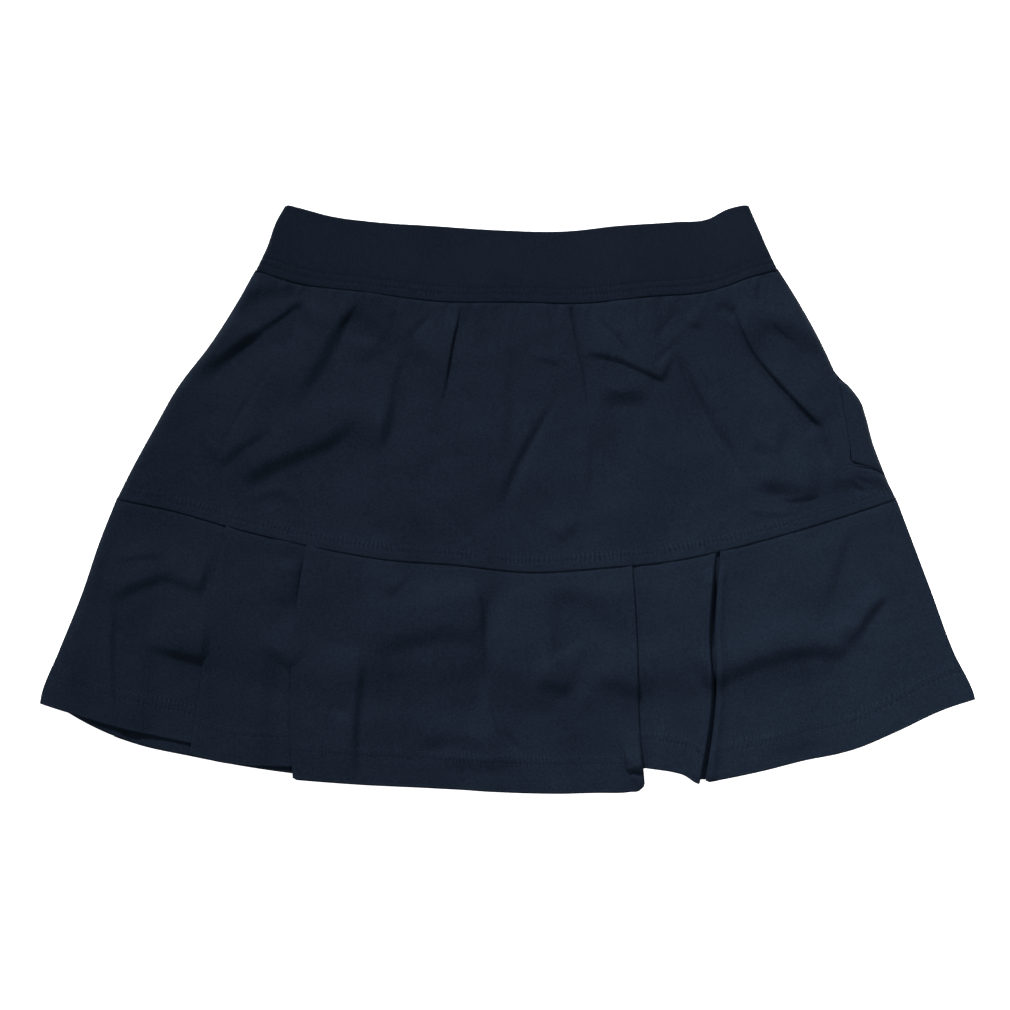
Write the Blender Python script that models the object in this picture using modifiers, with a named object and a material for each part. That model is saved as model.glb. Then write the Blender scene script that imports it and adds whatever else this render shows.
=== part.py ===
"""Tennis skort laid flat with its front up: a wide waistband, an A-line skirt with a pleated
flounce, inner shorts and an in-seam pocket. +X runs across the garment, +Y towards the waist,
+Z up from the surface it lies on. The origin is the middle of its footprint, on that surface.
Tables and sizes are in millimetres; the meshes are in metres.
"""

import math

import bpy
import numpy as np

MM = 0.001

# ---------------------------------------------------------------- driving sizes, in mm
SEAM_GAP = 0.3
BAND_WALL = 2.4
SKIRT_WALL = 1.2
FLOUNCE_WALL = 1.0
SHORTS_WALL = 1.0
POCKET_WALL = 1.0
# Height from one folded layer to the next, middle to middle.
LAYER = 1.4

# Middle heights: the front where it lies on the shorts, and the flounce on the back flounce.
FRONT_LEVEL = 5.0
FLOUNCE_LEVEL = 1.9
SHORTS_BACK_LEVEL = 2.1
SHORTS_FRONT_LEVEL = 3.4
POCKET_LEVEL = 4.7
POCKET_LIFT = 2.5
# Distance from a side fold over which the front comes down to the back.
SIDE_ROUND = 6.0
# Distances from a side fold of the columns that round it.
NEAR_SIDE = (0.0, 1.0, 3.0, SIDE_ROUND)
# Distance over which a pleated layer comes back down beyond its hidden fold.
RAMP = 10.0
RAMP_CLEAR = 2.0
TURN_STEPS = 5
# Columns at the climb onto a visible fold: just before it and just past it.
CLIMB_BEFORE = 0.6
CLIMB_PAST = 1.6
# The front flounce lies lifted this far beside a back pleat, then eases down over a shoulder.
BACK_PLEAT_MARGIN = 9.0
BACK_PLEAT_SHOULDER = 20.0
# Share of the flounce's length over which it leaves the height of its seam.
SEAM_FADE = 0.35
# Distance above the seam over which the pleats still lift the skirt.
BULK_LENGTH = 24.0

COLOUR = (0.0098, 0.0150, 0.0262, 1.0)
BAND_COLOUR = (0.0090, 0.0142, 0.0250, 1.0)
LINING_COLOUR = (0.0085, 0.0130, 0.0230, 1.0)
CLOTH_ROUGHNESS = 0.85

# ---------------------------------------------------------------- outline curves: (x, y)
BAND_TOP = [(-155.6, 206.0), (-145.3, 203.4), (-124.3, 197.8), (-92.8, 193.6), (-50.8, 190.8),
            (-8.8, 188.0), (43.8, 187.3), (75.3, 190.8), (117.3, 193.6), (140.0, 195.6),
            (154.0, 202.6), (168.8, 206.2)]
WAIST_SEAM = [(-176.4, 159.6), (-150.2, 151.1), (-103.3, 144.6), (-45.2, 137.5), (8.8, 137.2),
              (52.2, 136.4), (100.0, 141.2), (142.5, 145.1), (173.6, 155.8), (189.4, 160.1)]
BAND_LEFT = [(-155.6, 206.0), (-161.4, 195.7), (-168.4, 176.0), (-176.4, 159.6)]
BAND_RIGHT = [(168.8, 206.2), (173.3, 195.7), (181.7, 176.0), (189.4, 160.1)]
FLOUNCE_SEAM = [(-273.4, -0.3), (-231.4, -9.4), (-197.0, -19.3), (-169.8, -26.3),
                (-124.3, -36.3), (-84.4, -42.9), (-40.3, -46.2), (19.3, -51.7), (64.8, -48.8),
                (115.2, -43.8), (146.7, -37.5), (183.1, -28.1), (239.1, -11.3), (272.0, -0.3)]
SKIRT_LEFT = [(-176.4, 159.6), (-189.4, 136.9), (-208.3, 107.5), (-230.7, 78.1),
              (-247.5, 48.7), (-263.6, 19.3), (-273.4, -0.3)]
# Outer edge on the pocket side, where the back stands out below the top of the mouth.
SKIRT_RIGHT = [(189.4, 160.1), (204.1, 136.9), (220.2, 107.5), (229.6, 89.0), (241.0, 76.5),
               (250.3, 58.5), (255.9, 38.9), (263.6, 19.3), (272.0, -0.3)]
# Edge of the front panel on that side: the side seam, the pocket mouth down to its eighth
# point, the side seam.
MOUTH_SIDE = [(189.4, 160.1), (204.1, 136.9), (220.2, 107.5), (228.7, 88.5), (232.4, 76.5),
              (236.2, 54.0), (239.2, 36.0), (240.6, 25.6), (250.0, 22.6), (261.0, 19.0),
              (266.4, 10.8), (272.0, -0.3)]
FLOUNCE_LEFT = [(-273.4, -0.3), (-285.3, -29.8), (-298.6, -69.0), (-314.7, -108.2),
                (-326.6, -137.6), (-327.6, -143.8)]
FLOUNCE_RIGHT = [(272.0, -0.3), (283.2, -29.8), (297.9, -69.0), (312.6, -108.2),
                 (327.0, -137.0), (328.0, -140.8)]

# ---------------------------------------------------------------- pleats and hems
# Columns: x of the fold's visible edge at the seam, a third and two thirds down, and the hem;
# how far the hidden fold lies to its right at the seam and at the hem, or to its left where
# negative; whether the layers climb from left to right.
FRONT_PLEATS = [
    (-197.0, -208.0, -214.5, -222.6, 36.0, 40.0, True),
    (-141.0, -149.0, -151.8, -150.6, 45.0, 45.0, True),
    (87.5, 90.6, 92.0, 96.2, -38.0, -36.0, False),
    (146.0, 141.6, 143.0, 134.8, -28.0, -23.0, False),
    (148.8, 145.2, 145.8, 138.8, 34.0, 40.0, True),
]
BACK_PLEATS = [
    (-247.0, -258.0, -268.0, -276.0, -17.0, -26.0, True),
    (17.0, 20.0, 25.0, 28.0, -12.0, -32.0, True),
    (246.0, 260.0, 274.0, 288.0, -17.0, -26.0, True),
]
# Hem of each panel from left to right, the underlay of the inverted pleat among them.
FRONT_HEMS = [
    [(-327.6, -143.8), (-300.6, -152.1), (-274.0, -160.0), (-223.4, -171.4)],
    [(-222.6, -179.6), (-204.0, -184.1), (-189.4, -186.5), (-153.4, -188.0)],
    [(-150.6, -197.0), (-113.0, -199.9), (-37.5, -204.0), (20.0, -206.6), (63.4, -206.2),
     (86.0, -205.6), (93.0, -204.2), (96.2, -200.6)],
    [(96.2, -189.0), (104.0, -190.0), (114.7, -191.5), (125.0, -194.6), (131.2, -198.9),
     (134.8, -200.4)],
    [(134.8, -197.0), (138.8, -197.0)],
    [(138.8, -199.0), (155.0, -196.0), (173.3, -192.2), (206.9, -184.0), (237.7, -177.5),
     (271.3, -163.9), (303.5, -148.8), (328.0, -140.8)],
]
BACK_HEM = [(-322.0, -141.0), (-305.3, -152.1), (-266.8, -170.2), (-220.9, -181.1),
            (-153.4, -192.5), (-75.0, -198.0), (0.0, -197.0), (60.0, -191.0), (100.0, -185.0),
            (160.0, -182.0), (237.0, -168.0), (300.0, -143.0), (322.0, -136.0)]
# How far a hidden stretch of hem lies inside the hem that covers it.
HIDDEN_HEM_INSET = 1.0
# Panel number of a column inside a pleat.
HIDDEN = -1
# How far the back flounce's side edges run inside the front's at the hem.
BACK_INSET = 5.0

# ---------------------------------------------------------------- shorts
SHORTS_SIDE_INSET = 15.0
SHORTS_COLUMNS = 15
# Share of the side's length below which the legs part.
THIGH_SHARE = 0.27
CROTCH = (17.0, -28.0)
# Outer and inner corners of each leg's hem.
LEFT_LEG = [(-230.0, -86.0), (-34.0, -112.0)]
RIGHT_LEG = [(236.0, -90.0), (68.0, -112.0)]
# Ground that each leg lifts the flounce over, corner after corner.
LEG_GROUNDS = [
    [(-214.0, 20.0), (-232.0, -88.0), (-34.0, -115.0), (40.0, -20.0)],
    [(0.0, -20.0), (66.0, -115.0), (238.0, -92.0), (220.0, 20.0)],
]
LEG_SHOULDER = 38.0

# ---------------------------------------------------------------- pocket
# The bag's inner fold: (y, x).
BAG_FOLD = [(16.0, 232.5), (33.3, 231.4), (49.4, 227.6), (67.8, 207.6), (82.6, 194.1),
            (100.0, 180.7), (118.0, 171.0)]
BAG_TOP = 118.0
BAG_BOTTOM = 26.0
# The bag's lower edge falls away past this x, at this slope, like the seam below it.
BAG_CORNER_X = 241.2
BAG_SLANT = 0.32
# The front lies lifted this far round the bag and above this y, then eases down.
BAG_MARGIN = 2.0
BAG_FLOOR = 16.0
BAG_SHOULDER = 12.0
# The mouth is open between these heights, easing shut beyond them.
MOUTH_TOP = 88.5
MOUTH_FOOT = 18.0
MOUTH_EASE = 6.0
# How far the bag's edges lie inside the mouth, and inside the side seam above it.
LIP_INSET = 1.0
SEAM_INSET = 12.0

# ---------------------------------------------------------------- soft folds
# Columns: start, middle and end of the fold's line, its half width and its height.
SKIRT_FOLDS = [
    (-150.0, 145.0, -184.0, 122.0, -212.0, 99.0, 9.0, 4.0),
    (-128.0, 130.0, -165.0, 98.0, -209.0, 60.0, 13.0, 3.4),
    (-110.0, 112.0, -130.0, 62.0, -180.0, 26.0, 14.0, 3.0),
    (-39.0, 134.0, -46.0, 104.0, -52.0, 62.0, 8.0, 3.2),
    (52.0, 132.0, 57.0, 107.0, 64.0, 52.0, 9.0, 2.8),
    (44.0, 78.0, 19.0, 37.0, 4.0, -10.0, 11.0, 2.4),
    (124.0, 110.0, 150.0, 49.0, 168.0, 6.0, 12.0, 2.4),
    (170.0, 136.0, 187.0, 98.0, 226.0, 52.0, 9.0, 2.6),
    (82.0, 92.0, 104.0, 84.0, 120.0, 74.0, 9.0, 2.0),
]
FLOUNCE_FOLDS = [
    (-288.0, -66.0, -250.0, -50.0, -214.0, -62.0, 10.0, 1.6),
    (-90.0, -102.0, -52.0, -93.0, -14.0, -95.0, 10.0, 1.5),
    (150.0, -122.0, 205.0, -108.0, 262.0, -72.0, 11.0, 1.6),
    (-282.0, -75.0, -279.0, -110.0, -278.0, -150.0, 9.0, 1.2),
    (-104.0, -60.0, -104.0, -110.0, -108.0, -180.0, 9.0, 1.2),
    (-30.0, -70.0, -20.0, -115.0, 4.0, -172.0, 11.0, 1.4),
    (30.0, -66.0, 44.0, -110.0, 40.0, -160.0, 12.0, 1.0),
]
FOLD_SAMPLES = 24
# Shape of a fold's fading towards its ends: the share left out, and the power of the arch.
FOLD_END = 0.02
FOLD_FADE = 0.6

# ---------------------------------------------------------------- mesh density
PANEL_STEP = 12.0
PANEL_ROWS = 14
FLOUNCE_STEP = 20.0
FLOUNCE_ROWS = 11
BAND_STEP = 15.0
BAND_ROWS = 5
HIDDEN_STEP = 24.0
BACK_STEP = 17.0
HIDDEN_ROWS = 8
# Columns along a hidden layer or a ramp of a pleat.
LAYER_COLUMNS = 3
SEAT_ROWS = 5
LEG_ROWS = 3
BAG_ROWS = 9
BAG_COLUMNS = 5
WELD_DISTANCE = 0.01
FAR = 1e9


# ================================================================ curves
def smooth_value(table, at):
    """Value at a place on a smooth curve through (place, value) rows, held beyond its ends."""
    place, value = np.array(table, float).T
    slope = np.gradient(value, place)
    at = np.clip(at, place[0], place[-1])
    k = np.clip(np.searchsorted(place, at, side="right") - 1, 0, len(place) - 2)
    step = place[k + 1] - place[k]
    s = (at - place[k]) / step
    start = (1 + 2 * s) * (1 - s) ** 2 * value[k] + s * (1 - s) ** 2 * step * slope[k]
    end = s * s * (3 - 2 * s) * value[k + 1] + s * s * (s - 1) * step * slope[k + 1]
    return start + end


def along(points, share):
    """(x, y) at a share of the length of a smooth curve through the points."""
    points = np.array(points, float)
    length = np.concatenate([[0], np.cumsum(np.hypot(*np.diff(points, axis=0).T))])
    place = np.asarray(share, float) * length[-1]
    rows = [smooth_value(np.column_stack([length, points[:, axis]]), place) for axis in (0, 1)]
    return np.stack(rows, axis=-1)


def smoothstep(value):
    """0 to 1, easing in and out."""
    s = np.clip(value, 0.0, 1.0)
    return s * s * (3 - 2 * s)


def rounded(distance, radius):
    """0 at a side fold to 1 a radius inside it, as a quarter round."""
    s = np.clip(np.asarray(distance, float) / radius, 0.0, 1.0)
    return np.sqrt(1 - (1 - s) ** 2)


def patch(top, bottom, left, right, u, v):
    """(x, y) inside four edge curves, u from left to right and v from top to bottom."""
    u, v = np.meshgrid(u, v)
    across = (1 - v)[..., None] * along(top, u) + v[..., None] * along(bottom, u)
    down = (1 - u)[..., None] * along(left, v) + u[..., None] * along(right, v)
    corners = sum(
        weight[..., None] * np.array(point)
        for weight, point in (
            ((1 - u) * (1 - v), top[0]), (u * (1 - v), top[-1]),
            ((1 - u) * v, bottom[0]), (u * v, bottom[-1]),
        )
    )
    return across + down - corners


def edge_shares(width, step):
    """Shares across a panel: close together at both side folds, then evenly spaced."""
    near = np.array(NEAR_SIDE) / width
    count = max(2, round((width - 2 * SIDE_ROUND) / step))
    middle = np.linspace(near[-1], 1 - near[-1], count + 1)
    return np.concatenate([near[:-1], middle, 1 - near[-2::-1]])


# ================================================================ heights
def ridge(x, y, row):
    """Height of one soft fold: a hump across a curve through three points, fading at its ends."""
    x1, y1, x2, y2, x3, y3, width, height = row
    s = np.linspace(0, 1, FOLD_SAMPLES)
    first = (1 - s) * (1 - 2 * s)
    middle = 4 * s * (1 - s)
    last = s * (2 * s - 1)
    line_x = first * x1 + middle * x2 + last * x3
    line_y = first * y1 + middle * y2 + last * y3
    square = (np.asarray(x)[..., None] - line_x) ** 2 + (np.asarray(y)[..., None] - line_y) ** 2
    nearest = square.argmin(axis=-1)
    fade = np.sin(math.pi * np.clip(s[nearest], FOLD_END, 1 - FOLD_END)) ** FOLD_FADE
    return height * fade * np.exp(-square.min(axis=-1) / width ** 2)


def soft_folds(x, y, table):
    """Height of all the soft folds of a table together."""
    return sum(ridge(x, y, row) for row in table)


def inside(x, y, corners, shoulder):
    """1 on a four-sided ground, easing to 0 a shoulder outside it."""
    out = np.full(np.shape(x), -FAR)
    for (x1, y1), (x2, y2) in zip(corners, corners[1:] + corners[:1]):
        length = math.hypot(x2 - x1, y2 - y1)
        out = np.maximum(out, ((x - x1) * (y1 - y2) + (y - y1) * (x2 - x1)) / -length)
    return smoothstep(1 - out / shoulder)


def leg_ground(x, y):
    """1 where a leg of the shorts lies below the flounce."""
    return np.maximum(*(inside(x, y, corners, LEG_SHOULDER) for corners in LEG_GROUNDS))


def pleat_edge(pleat, t):
    """x of a pleat's visible edge at a share of the flounce's length, and its hidden depth."""
    x_seam, x_third, x_two_thirds, x_hem, depth_seam, depth_hem, _ = pleat
    edge = smooth_value([(0, x_seam), (1 / 3, x_third), (2 / 3, x_two_thirds), (1, x_hem)], t)
    return edge, depth_seam + (depth_hem - depth_seam) * t


def pleat_sides(pleat, t):
    """x of the left and right folds of a pleat at a share of the flounce's length."""
    edge, depth = pleat_edge(pleat, t)
    return np.minimum(edge, edge + depth), np.maximum(edge, edge + depth)


def back_pleat_span(x, t, pleat):
    """1 over a back pleat's layers and a margin beside them, easing to 0."""
    low, high = pleat_sides(pleat, t)
    beyond = np.maximum(low - x, x - high) - BACK_PLEAT_MARGIN
    return smoothstep(1 - beyond / BACK_PLEAT_SHOULDER)


def back_lift(x, t):
    """How far the pleats of the back flounce lift the front flounce."""
    spans = [back_pleat_span(x, t, pleat) for pleat in BACK_PLEATS]
    return 2 * LAYER * np.max(spans, axis=0)


def bag_lift(x, y):
    """1 where the pocket bag lies under the front skirt, easing to 0 round it."""
    inwards = smooth_value(BAG_FOLD, y) - x - BAG_MARGIN
    upwards = y - BAG_TOP - BAG_MARGIN
    downwards = BAG_FLOOR - y
    return math.prod(smoothstep(1 - beyond / BAG_SHOULDER)
                     for beyond in (inwards, upwards, downwards))


def skirt_height(x, y):
    """Middle height of the front skirt, away from its side folds; its lowest row is its seam."""
    seam_x = x[-1:]
    above = smoothstep(1 - (y - smooth_value(FLOUNCE_SEAM, x)) / BULK_LENGTH)
    bulk = LAYER * top_level(FRONT_PLEATS, seam_x) * above
    return FRONT_LEVEL + bulk + POCKET_LIFT * bag_lift(x, y) + soft_folds(x, y, SKIRT_FOLDS)


def flounce_height(x, y, t):
    """Middle height of the front flounce's lowest layer, away from its side folds."""
    leg = FLOUNCE_LEVEL + (FRONT_LEVEL - FLOUNCE_LEVEL) * leg_ground(x, y)
    low = np.maximum(leg, FLOUNCE_LEVEL + back_lift(x, t))
    seam = smoothstep(1 - t / SEAM_FADE)
    return low + (FRONT_LEVEL - low) * seam + soft_folds(x, y, FLOUNCE_FOLDS) * (1 - seam)


# ================================================================ building
def cloth_material(name, colour):
    """Plain matt knit."""
    material = bpy.data.materials.new(name)
    material.use_nodes = True
    shader = material.node_tree.nodes["Principled BSDF"]
    shader.inputs["Base Color"].default_value = colour
    shader.inputs["Roughness"].default_value = CLOTH_ROUGHNESS
    shader.inputs["Metallic"].default_value = 0.0
    return material


def cloth_object(name, grids, wall, colour, wraps=False):
    """Object from grids of middle points (rows, columns, xyz), given a wall by Solidify."""
    vertices = []
    faces = []
    for grid in grids:
        rows, columns = grid.shape[:2]
        first = len(vertices)
        vertices += (grid.reshape(-1, 3) * MM).tolist()
        for row in range(rows - 1):
            for column in range(columns if wraps else columns - 1):
                beside = (column + 1) % columns
                here = first + row * columns
                below = here + columns
                faces.append((here + column, below + column, below + beside, here + beside))
    mesh = bpy.data.meshes.new(name)
    mesh.from_pydata(vertices, [], faces)
    piece = bpy.data.objects.new(name, mesh)
    bpy.context.scene.collection.children["tennis_skort"].objects.link(piece)
    if len(grids) > 1:
        weld = piece.modifiers.new("weld", "WELD")
        weld.merge_threshold = WELD_DISTANCE * MM
    solid = piece.modifiers.new("wall", "SOLIDIFY")
    solid.thickness = wall * MM
    solid.offset = 0.0
    mesh.materials.append(cloth_material(name + "_cloth", colour))
    mesh.shade_smooth()
    return piece


def with_height(plan, height):
    """Grid of (x, y, z) from a grid of (x, y) and the heights."""
    return np.dstack([plan, np.broadcast_to(height, plan.shape[:2])])


def shifted_down(curve, distance):
    """The same curve, a distance nearer to the hem."""
    return [(x, y - distance) for x, y in curve]


# ---------------------------------------------------------------- waistband
def build_waistband():
    """One tube, pressed flat: back wall, right fold, front wall, left fold."""
    centre = (FRONT_LEVEL + SKIRT_WALL / 2) / 2
    turn = centre - BAND_WALL / 2
    columns = round((WAIST_SEAM[-1][0] - WAIST_SEAM[0][0]) / BAND_STEP)
    even = np.linspace(0, 1, columns + 1)[1:-1]
    angles = np.linspace(0, math.pi, TURN_STEPS + 1)
    loop = [(u, 0.0, BAND_WALL / 2) for u in even]
    loop += [(1.0, turn * math.sin(a) - centre, centre - turn * math.cos(a)) for a in angles]
    loop += [(u, 0.0, centre + turn) for u in even[::-1]]
    loop += [(0.0, centre - turn * math.sin(a), centre + turn * math.cos(a)) for a in angles]
    shares, shifts, heights = np.array(loop).T
    v = np.linspace(0, 1, BAND_ROWS)
    plan = patch(BAND_TOP, WAIST_SEAM, BAND_LEFT, BAND_RIGHT, shares, v)
    plan[..., 0] += shifts
    return cloth_object("waistband", [with_height(plan, heights)], BAND_WALL, BAND_COLOUR,
                        wraps=True)


# ---------------------------------------------------------------- skirt panels
def pleat_columns():
    """x along the seam where the front flounce's topmost layer starts, climbs and ends."""
    places = []
    for pleat in FRONT_PLEATS:
        left, right = (float(value) for value in pleat_sides(pleat, 0.0))
        if pleat[-1]:
            places += [left - CLIMB_BEFORE, left + CLIMB_PAST]
            places += [right + RAMP_CLEAR, right + RAMP_CLEAR + RAMP]
        else:
            places += [left - RAMP_CLEAR - RAMP, left - RAMP_CLEAR]
            places += [right - CLIMB_PAST, right + CLIMB_BEFORE]
    return sorted(places)


def front_shares(step):
    """Shares across the front panel, with columns where the flounce's layers change."""
    x, y = np.array(FLOUNCE_SEAM).T
    length = np.concatenate([[0], np.cumsum(np.hypot(np.diff(x), np.diff(y)))])
    left_side = [x[0] + distance for distance in NEAR_SIDE]
    right_side = [x[-1] - distance for distance in NEAR_SIDE[::-1]]
    places = left_side + pleat_columns() + right_side
    filled = places[:1]
    for start, end in zip(places, places[1:]):
        count = max(1, round((end - start) / step))
        filled += list(np.linspace(start, end, count + 1)[1:])
    return np.interp(filled, x, length) / length[-1]


def panel_plan(right, shares, rows):
    """Plan of an upper skirt panel."""
    top = shifted_down(WAIST_SEAM, SEAM_GAP)
    left = [(SKIRT_LEFT[0][0], SKIRT_LEFT[0][1] - SEAM_GAP)] + SKIRT_LEFT[1:]
    right = [(right[0][0], right[0][1] - SEAM_GAP)] + right[1:]
    v = np.linspace(0, 1, rows)
    return patch(top, FLOUNCE_SEAM, left, right, shares, v)


def build_skirt_front():
    """Front panel: over the shorts and the pocket bag, down to the back at its side folds."""
    plan = panel_plan(MOUTH_SIDE, front_shares(PANEL_STEP), PANEL_ROWS)
    x, y = plan[..., 0], plan[..., 1]
    side = SKIRT_WALL + SEAM_GAP + SKIRT_WALL / 2
    below_top = smoothstep((MOUTH_TOP + MOUTH_EASE - y) / (2 * MOUTH_EASE))
    above_foot = smoothstep((y - MOUTH_FOOT + MOUTH_EASE) / (2 * MOUTH_EASE))
    mouth = below_top * above_foot
    left_round = rounded(x - x[:, :1], SIDE_ROUND)
    right_round = np.maximum(rounded(x[:, -1:] - x, SIDE_ROUND), mouth)
    height = side + (skirt_height(x, y) - side) * left_round * right_round
    return cloth_object("skirt_front", [with_height(plan, height)], SKIRT_WALL, COLOUR)


def build_skirt_back():
    """Back panel, flat on the surface."""
    shares = edge_shares(FLOUNCE_SEAM[-1][0] - FLOUNCE_SEAM[0][0], BACK_STEP)
    plan = panel_plan(SKIRT_RIGHT, shares, HIDDEN_ROWS)
    return cloth_object("skirt_back", [with_height(plan, SKIRT_WALL / 2)], SKIRT_WALL, COLOUR)


# ---------------------------------------------------------------- flounce
def turn_back(edge, side, level_start, level_end, wall):
    """Columns round a fold whose outside is at an x; side is 1 where it faces right."""
    radius = LAYER / 2
    centre = edge - side * (radius + wall / 2)
    middle = (level_start + level_end) / 2
    rise = (level_end - level_start) / 2
    angles = np.linspace(0, math.pi, TURN_STEPS + 1)[1:]
    return [(centre + side * radius * math.sin(a), middle - rise * math.cos(a)) for a in angles]


def run_on(path, panel, stops):
    """Carry a row's path on to each stop in turn, (x, level, columns), easing between levels."""
    for stop, level, columns in stops:
        start, start_level, _ = path[-1]
        for s in np.linspace(0, 1, columns + 1)[1:]:
            eased = start_level + (level - start_level) * smoothstep(s)
            path.append((start + (stop - start) * s, eased, panel))


def add_pleat(path, pleat, t, panel, columns, wall):
    """Carry a row's path over a panel to its pleat, back under it and out on the next panel."""
    left, right = (float(value) for value in pleat_sides(pleat, t))
    inset = (LAYER + wall) / 2
    turn_left, turn_right = left + inset, right - inset
    few = LAYER_COLUMNS
    if pleat[-1]:
        levels = (0.0, 1.0, 2.0)
        before = [(left, 0.0, columns), (turn_right, 0.0, few)]
        after = [(turn_right, 2.0, few), (right + RAMP_CLEAR, 2.0, 1),
                 (right + RAMP_CLEAR + RAMP, 0.0, few)]
    else:
        levels = (2.0, 1.0, 0.0)
        before = [(left - RAMP_CLEAR - RAMP, 0.0, columns), (left - RAMP_CLEAR, 2.0, few),
                  (turn_right, 2.0, few)]
        after = [(turn_right, 0.0, few)]
    run_on(path, panel, before)
    path += [(x, level, HIDDEN) for x, level in turn_back(right, 1, levels[0], levels[1], wall)]
    run_on(path, HIDDEN, [(turn_left, levels[1], few)])
    path += [(x, level, HIDDEN) for x, level in turn_back(left, -1, levels[1], levels[2], wall)]
    run_on(path, panel + 1, after)


def cloth_path(pleats, t, left, right, columns, wall):
    """One row of the flounce from left to right: (x, level, panel) of each column."""
    path = [(left + distance, 0.0, 0) for distance in NEAR_SIDE]
    for panel, (pleat, count) in enumerate(zip(pleats, columns)):
        add_pleat(path, pleat, t, panel, count, wall)
    last = len(pleats)
    run_on(path, last, [(right - SIDE_ROUND, 0.0, columns[-1])])
    path += [(right - distance, 0.0, last) for distance in NEAR_SIDE[-2::-1]]
    return path


def plain_columns(pleats, left, right, step):
    """Number of columns in each plain stretch between pleats, from the widths at the hem."""
    columns = []
    here = left
    for pleat in pleats:
        fold_left, fold_right = (float(value) for value in pleat_sides(pleat, 1.0))
        columns.append(max(1, round((fold_left - here) / step)))
        here = fold_right + (RAMP if pleat[-1] else 0.0)
    columns.append(max(1, round((right - here) / step)))
    return columns


def top_level(pleats, x):
    """Layer number of the topmost cloth along the seam, at each x."""
    left, right = FLOUNCE_SEAM[0][0], FLOUNCE_SEAM[-1][0]
    columns = [1] * (len(pleats) + 1)
    place, level, panel = np.array(cloth_path(pleats, 0.0, left, right, columns, FLOUNCE_WALL)).T
    runs = [panel == number for number in range(len(pleats) + 1)]
    return np.max([np.interp(x, place[run], level[run], left=0, right=0) for run in runs], axis=0)


def hem_heights(path, pleats, hems):
    """y of the hem at each column: a panel's own hem where it shows; carried on out of sight
    elsewhere, always inside the hem of the panel above."""
    x, _, panel = np.array(path).T
    edges = np.array([-FAR] + [float(pleat_edge(pleat, 1.0)[0]) for pleat in pleats] + [FAR])
    above = np.clip(np.searchsorted(edges, x) - 1, 0, len(hems) - 1)
    cover = np.array([float(smooth_value(hems[k], place)) for k, place in zip(above, x)])
    own = np.clip(panel.astype(int), 0, None)
    in_view = (panel != HIDDEN) & (x >= edges[own] - 0.01) & (x <= edges[own + 1] + 0.01)
    own_hem = np.array([float(smooth_value(hems[k], place)) for k, place in zip(own, x)])
    length = np.concatenate([[0], np.cumsum(np.abs(np.diff(x)))])
    carried = np.interp(length, length[in_view], own_hem[in_view])
    return np.where(in_view, own_hem, np.maximum(carried, cover + HIDDEN_HEM_INSET))


def flounce_grid(pleats, hems, sides, step, rows, wall):
    """A pleated flounce: x, y, layer number and share of the length of each grid point."""
    left, right = (float(along(side, 1.0)[0]) for side in sides)
    columns = plain_columns(pleats, left, right, step)
    shares = np.linspace(0, 1, rows)
    lines = []
    for t in shares:
        left, right = (float(along(side, t)[0]) for side in sides)
        lines.append(cloth_path(pleats, t, left, right, columns, wall))
    hem = hem_heights(lines[-1], pleats, hems)
    x, level, _ = np.moveaxis(np.array(lines), -1, 0)
    top = smooth_value(FLOUNCE_SEAM, x[:1]) - SEAM_GAP
    y = top + (hem - top) * shares[:, None]
    return x, y, level, shares[:, None]


def build_flounce_front():
    """Front flounce with its folded pleats, over the legs of the shorts and the back flounce."""
    x, y, level, t = flounce_grid(FRONT_PLEATS, FRONT_HEMS, (FLOUNCE_LEFT, FLOUNCE_RIGHT),
                                  FLOUNCE_STEP, FLOUNCE_ROWS, FLOUNCE_WALL)
    side = FLOUNCE_WALL + SEAM_GAP + FLOUNCE_WALL / 2
    side_round = rounded(x - x[:, :1], SIDE_ROUND) * rounded(x[:, -1:] - x, SIDE_ROUND)
    height = side + (flounce_height(x, y, t) - side) * side_round + LAYER * level
    return cloth_object("flounce_front", [np.dstack([x, y, height])], FLOUNCE_WALL, COLOUR)


def back_side(front_side, corner):
    """Side edge of the back flounce, drawn in from the front's more and more to its corner."""
    upper = front_side[:4]
    drawn_in = [(x - math.copysign(BACK_INSET * row / len(upper), x), y)
                for row, (x, y) in enumerate(upper)]
    return drawn_in + [corner]


def build_flounce_back():
    """Back flounce, its outer face flat on the surface and its pleats folded inwards."""
    sides = (back_side(FLOUNCE_LEFT, BACK_HEM[0]), back_side(FLOUNCE_RIGHT, BACK_HEM[-1]))
    hems = [BACK_HEM] * (len(BACK_PLEATS) + 1)
    x, y, level, _ = flounce_grid(BACK_PLEATS, hems, sides, HIDDEN_STEP, HIDDEN_ROWS,
                                  FLOUNCE_WALL)
    height = FLOUNCE_WALL / 2 + LAYER * level
    return cloth_object("flounce_back", [np.dstack([x, y, height])], FLOUNCE_WALL, COLOUR)


# ---------------------------------------------------------------- shorts
def shorts_half(side_top, hem, level):
    """One side of the shorts, from its outer edge to the middle and from waist to leg hem."""
    outer_hem, inner_hem = np.array(hem)
    share = np.linspace(0, 1, SHORTS_COLUMNS)
    top_x = side_top + (CROTCH[0] - side_top) * share
    top = np.stack([top_x, smooth_value(shifted_down(WAIST_SEAM, SEAM_GAP), top_x)], axis=-1)
    side_low = outer_hem + (top[0] - outer_hem) * THIGH_SHARE
    thigh = side_low + (np.array(CROTCH) - side_low) * share[:, None]
    leg_hem = outer_hem + (inner_hem - outer_hem) * share[:, None]
    seat = top + (thigh - top) * np.linspace(0, 1, SEAT_ROWS)[:, None, None]
    leg = thigh + (leg_hem - thigh) * np.linspace(0, 1, LEG_ROWS)[1:, None, None]
    return with_height(np.concatenate([seat, leg]), level)


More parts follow.
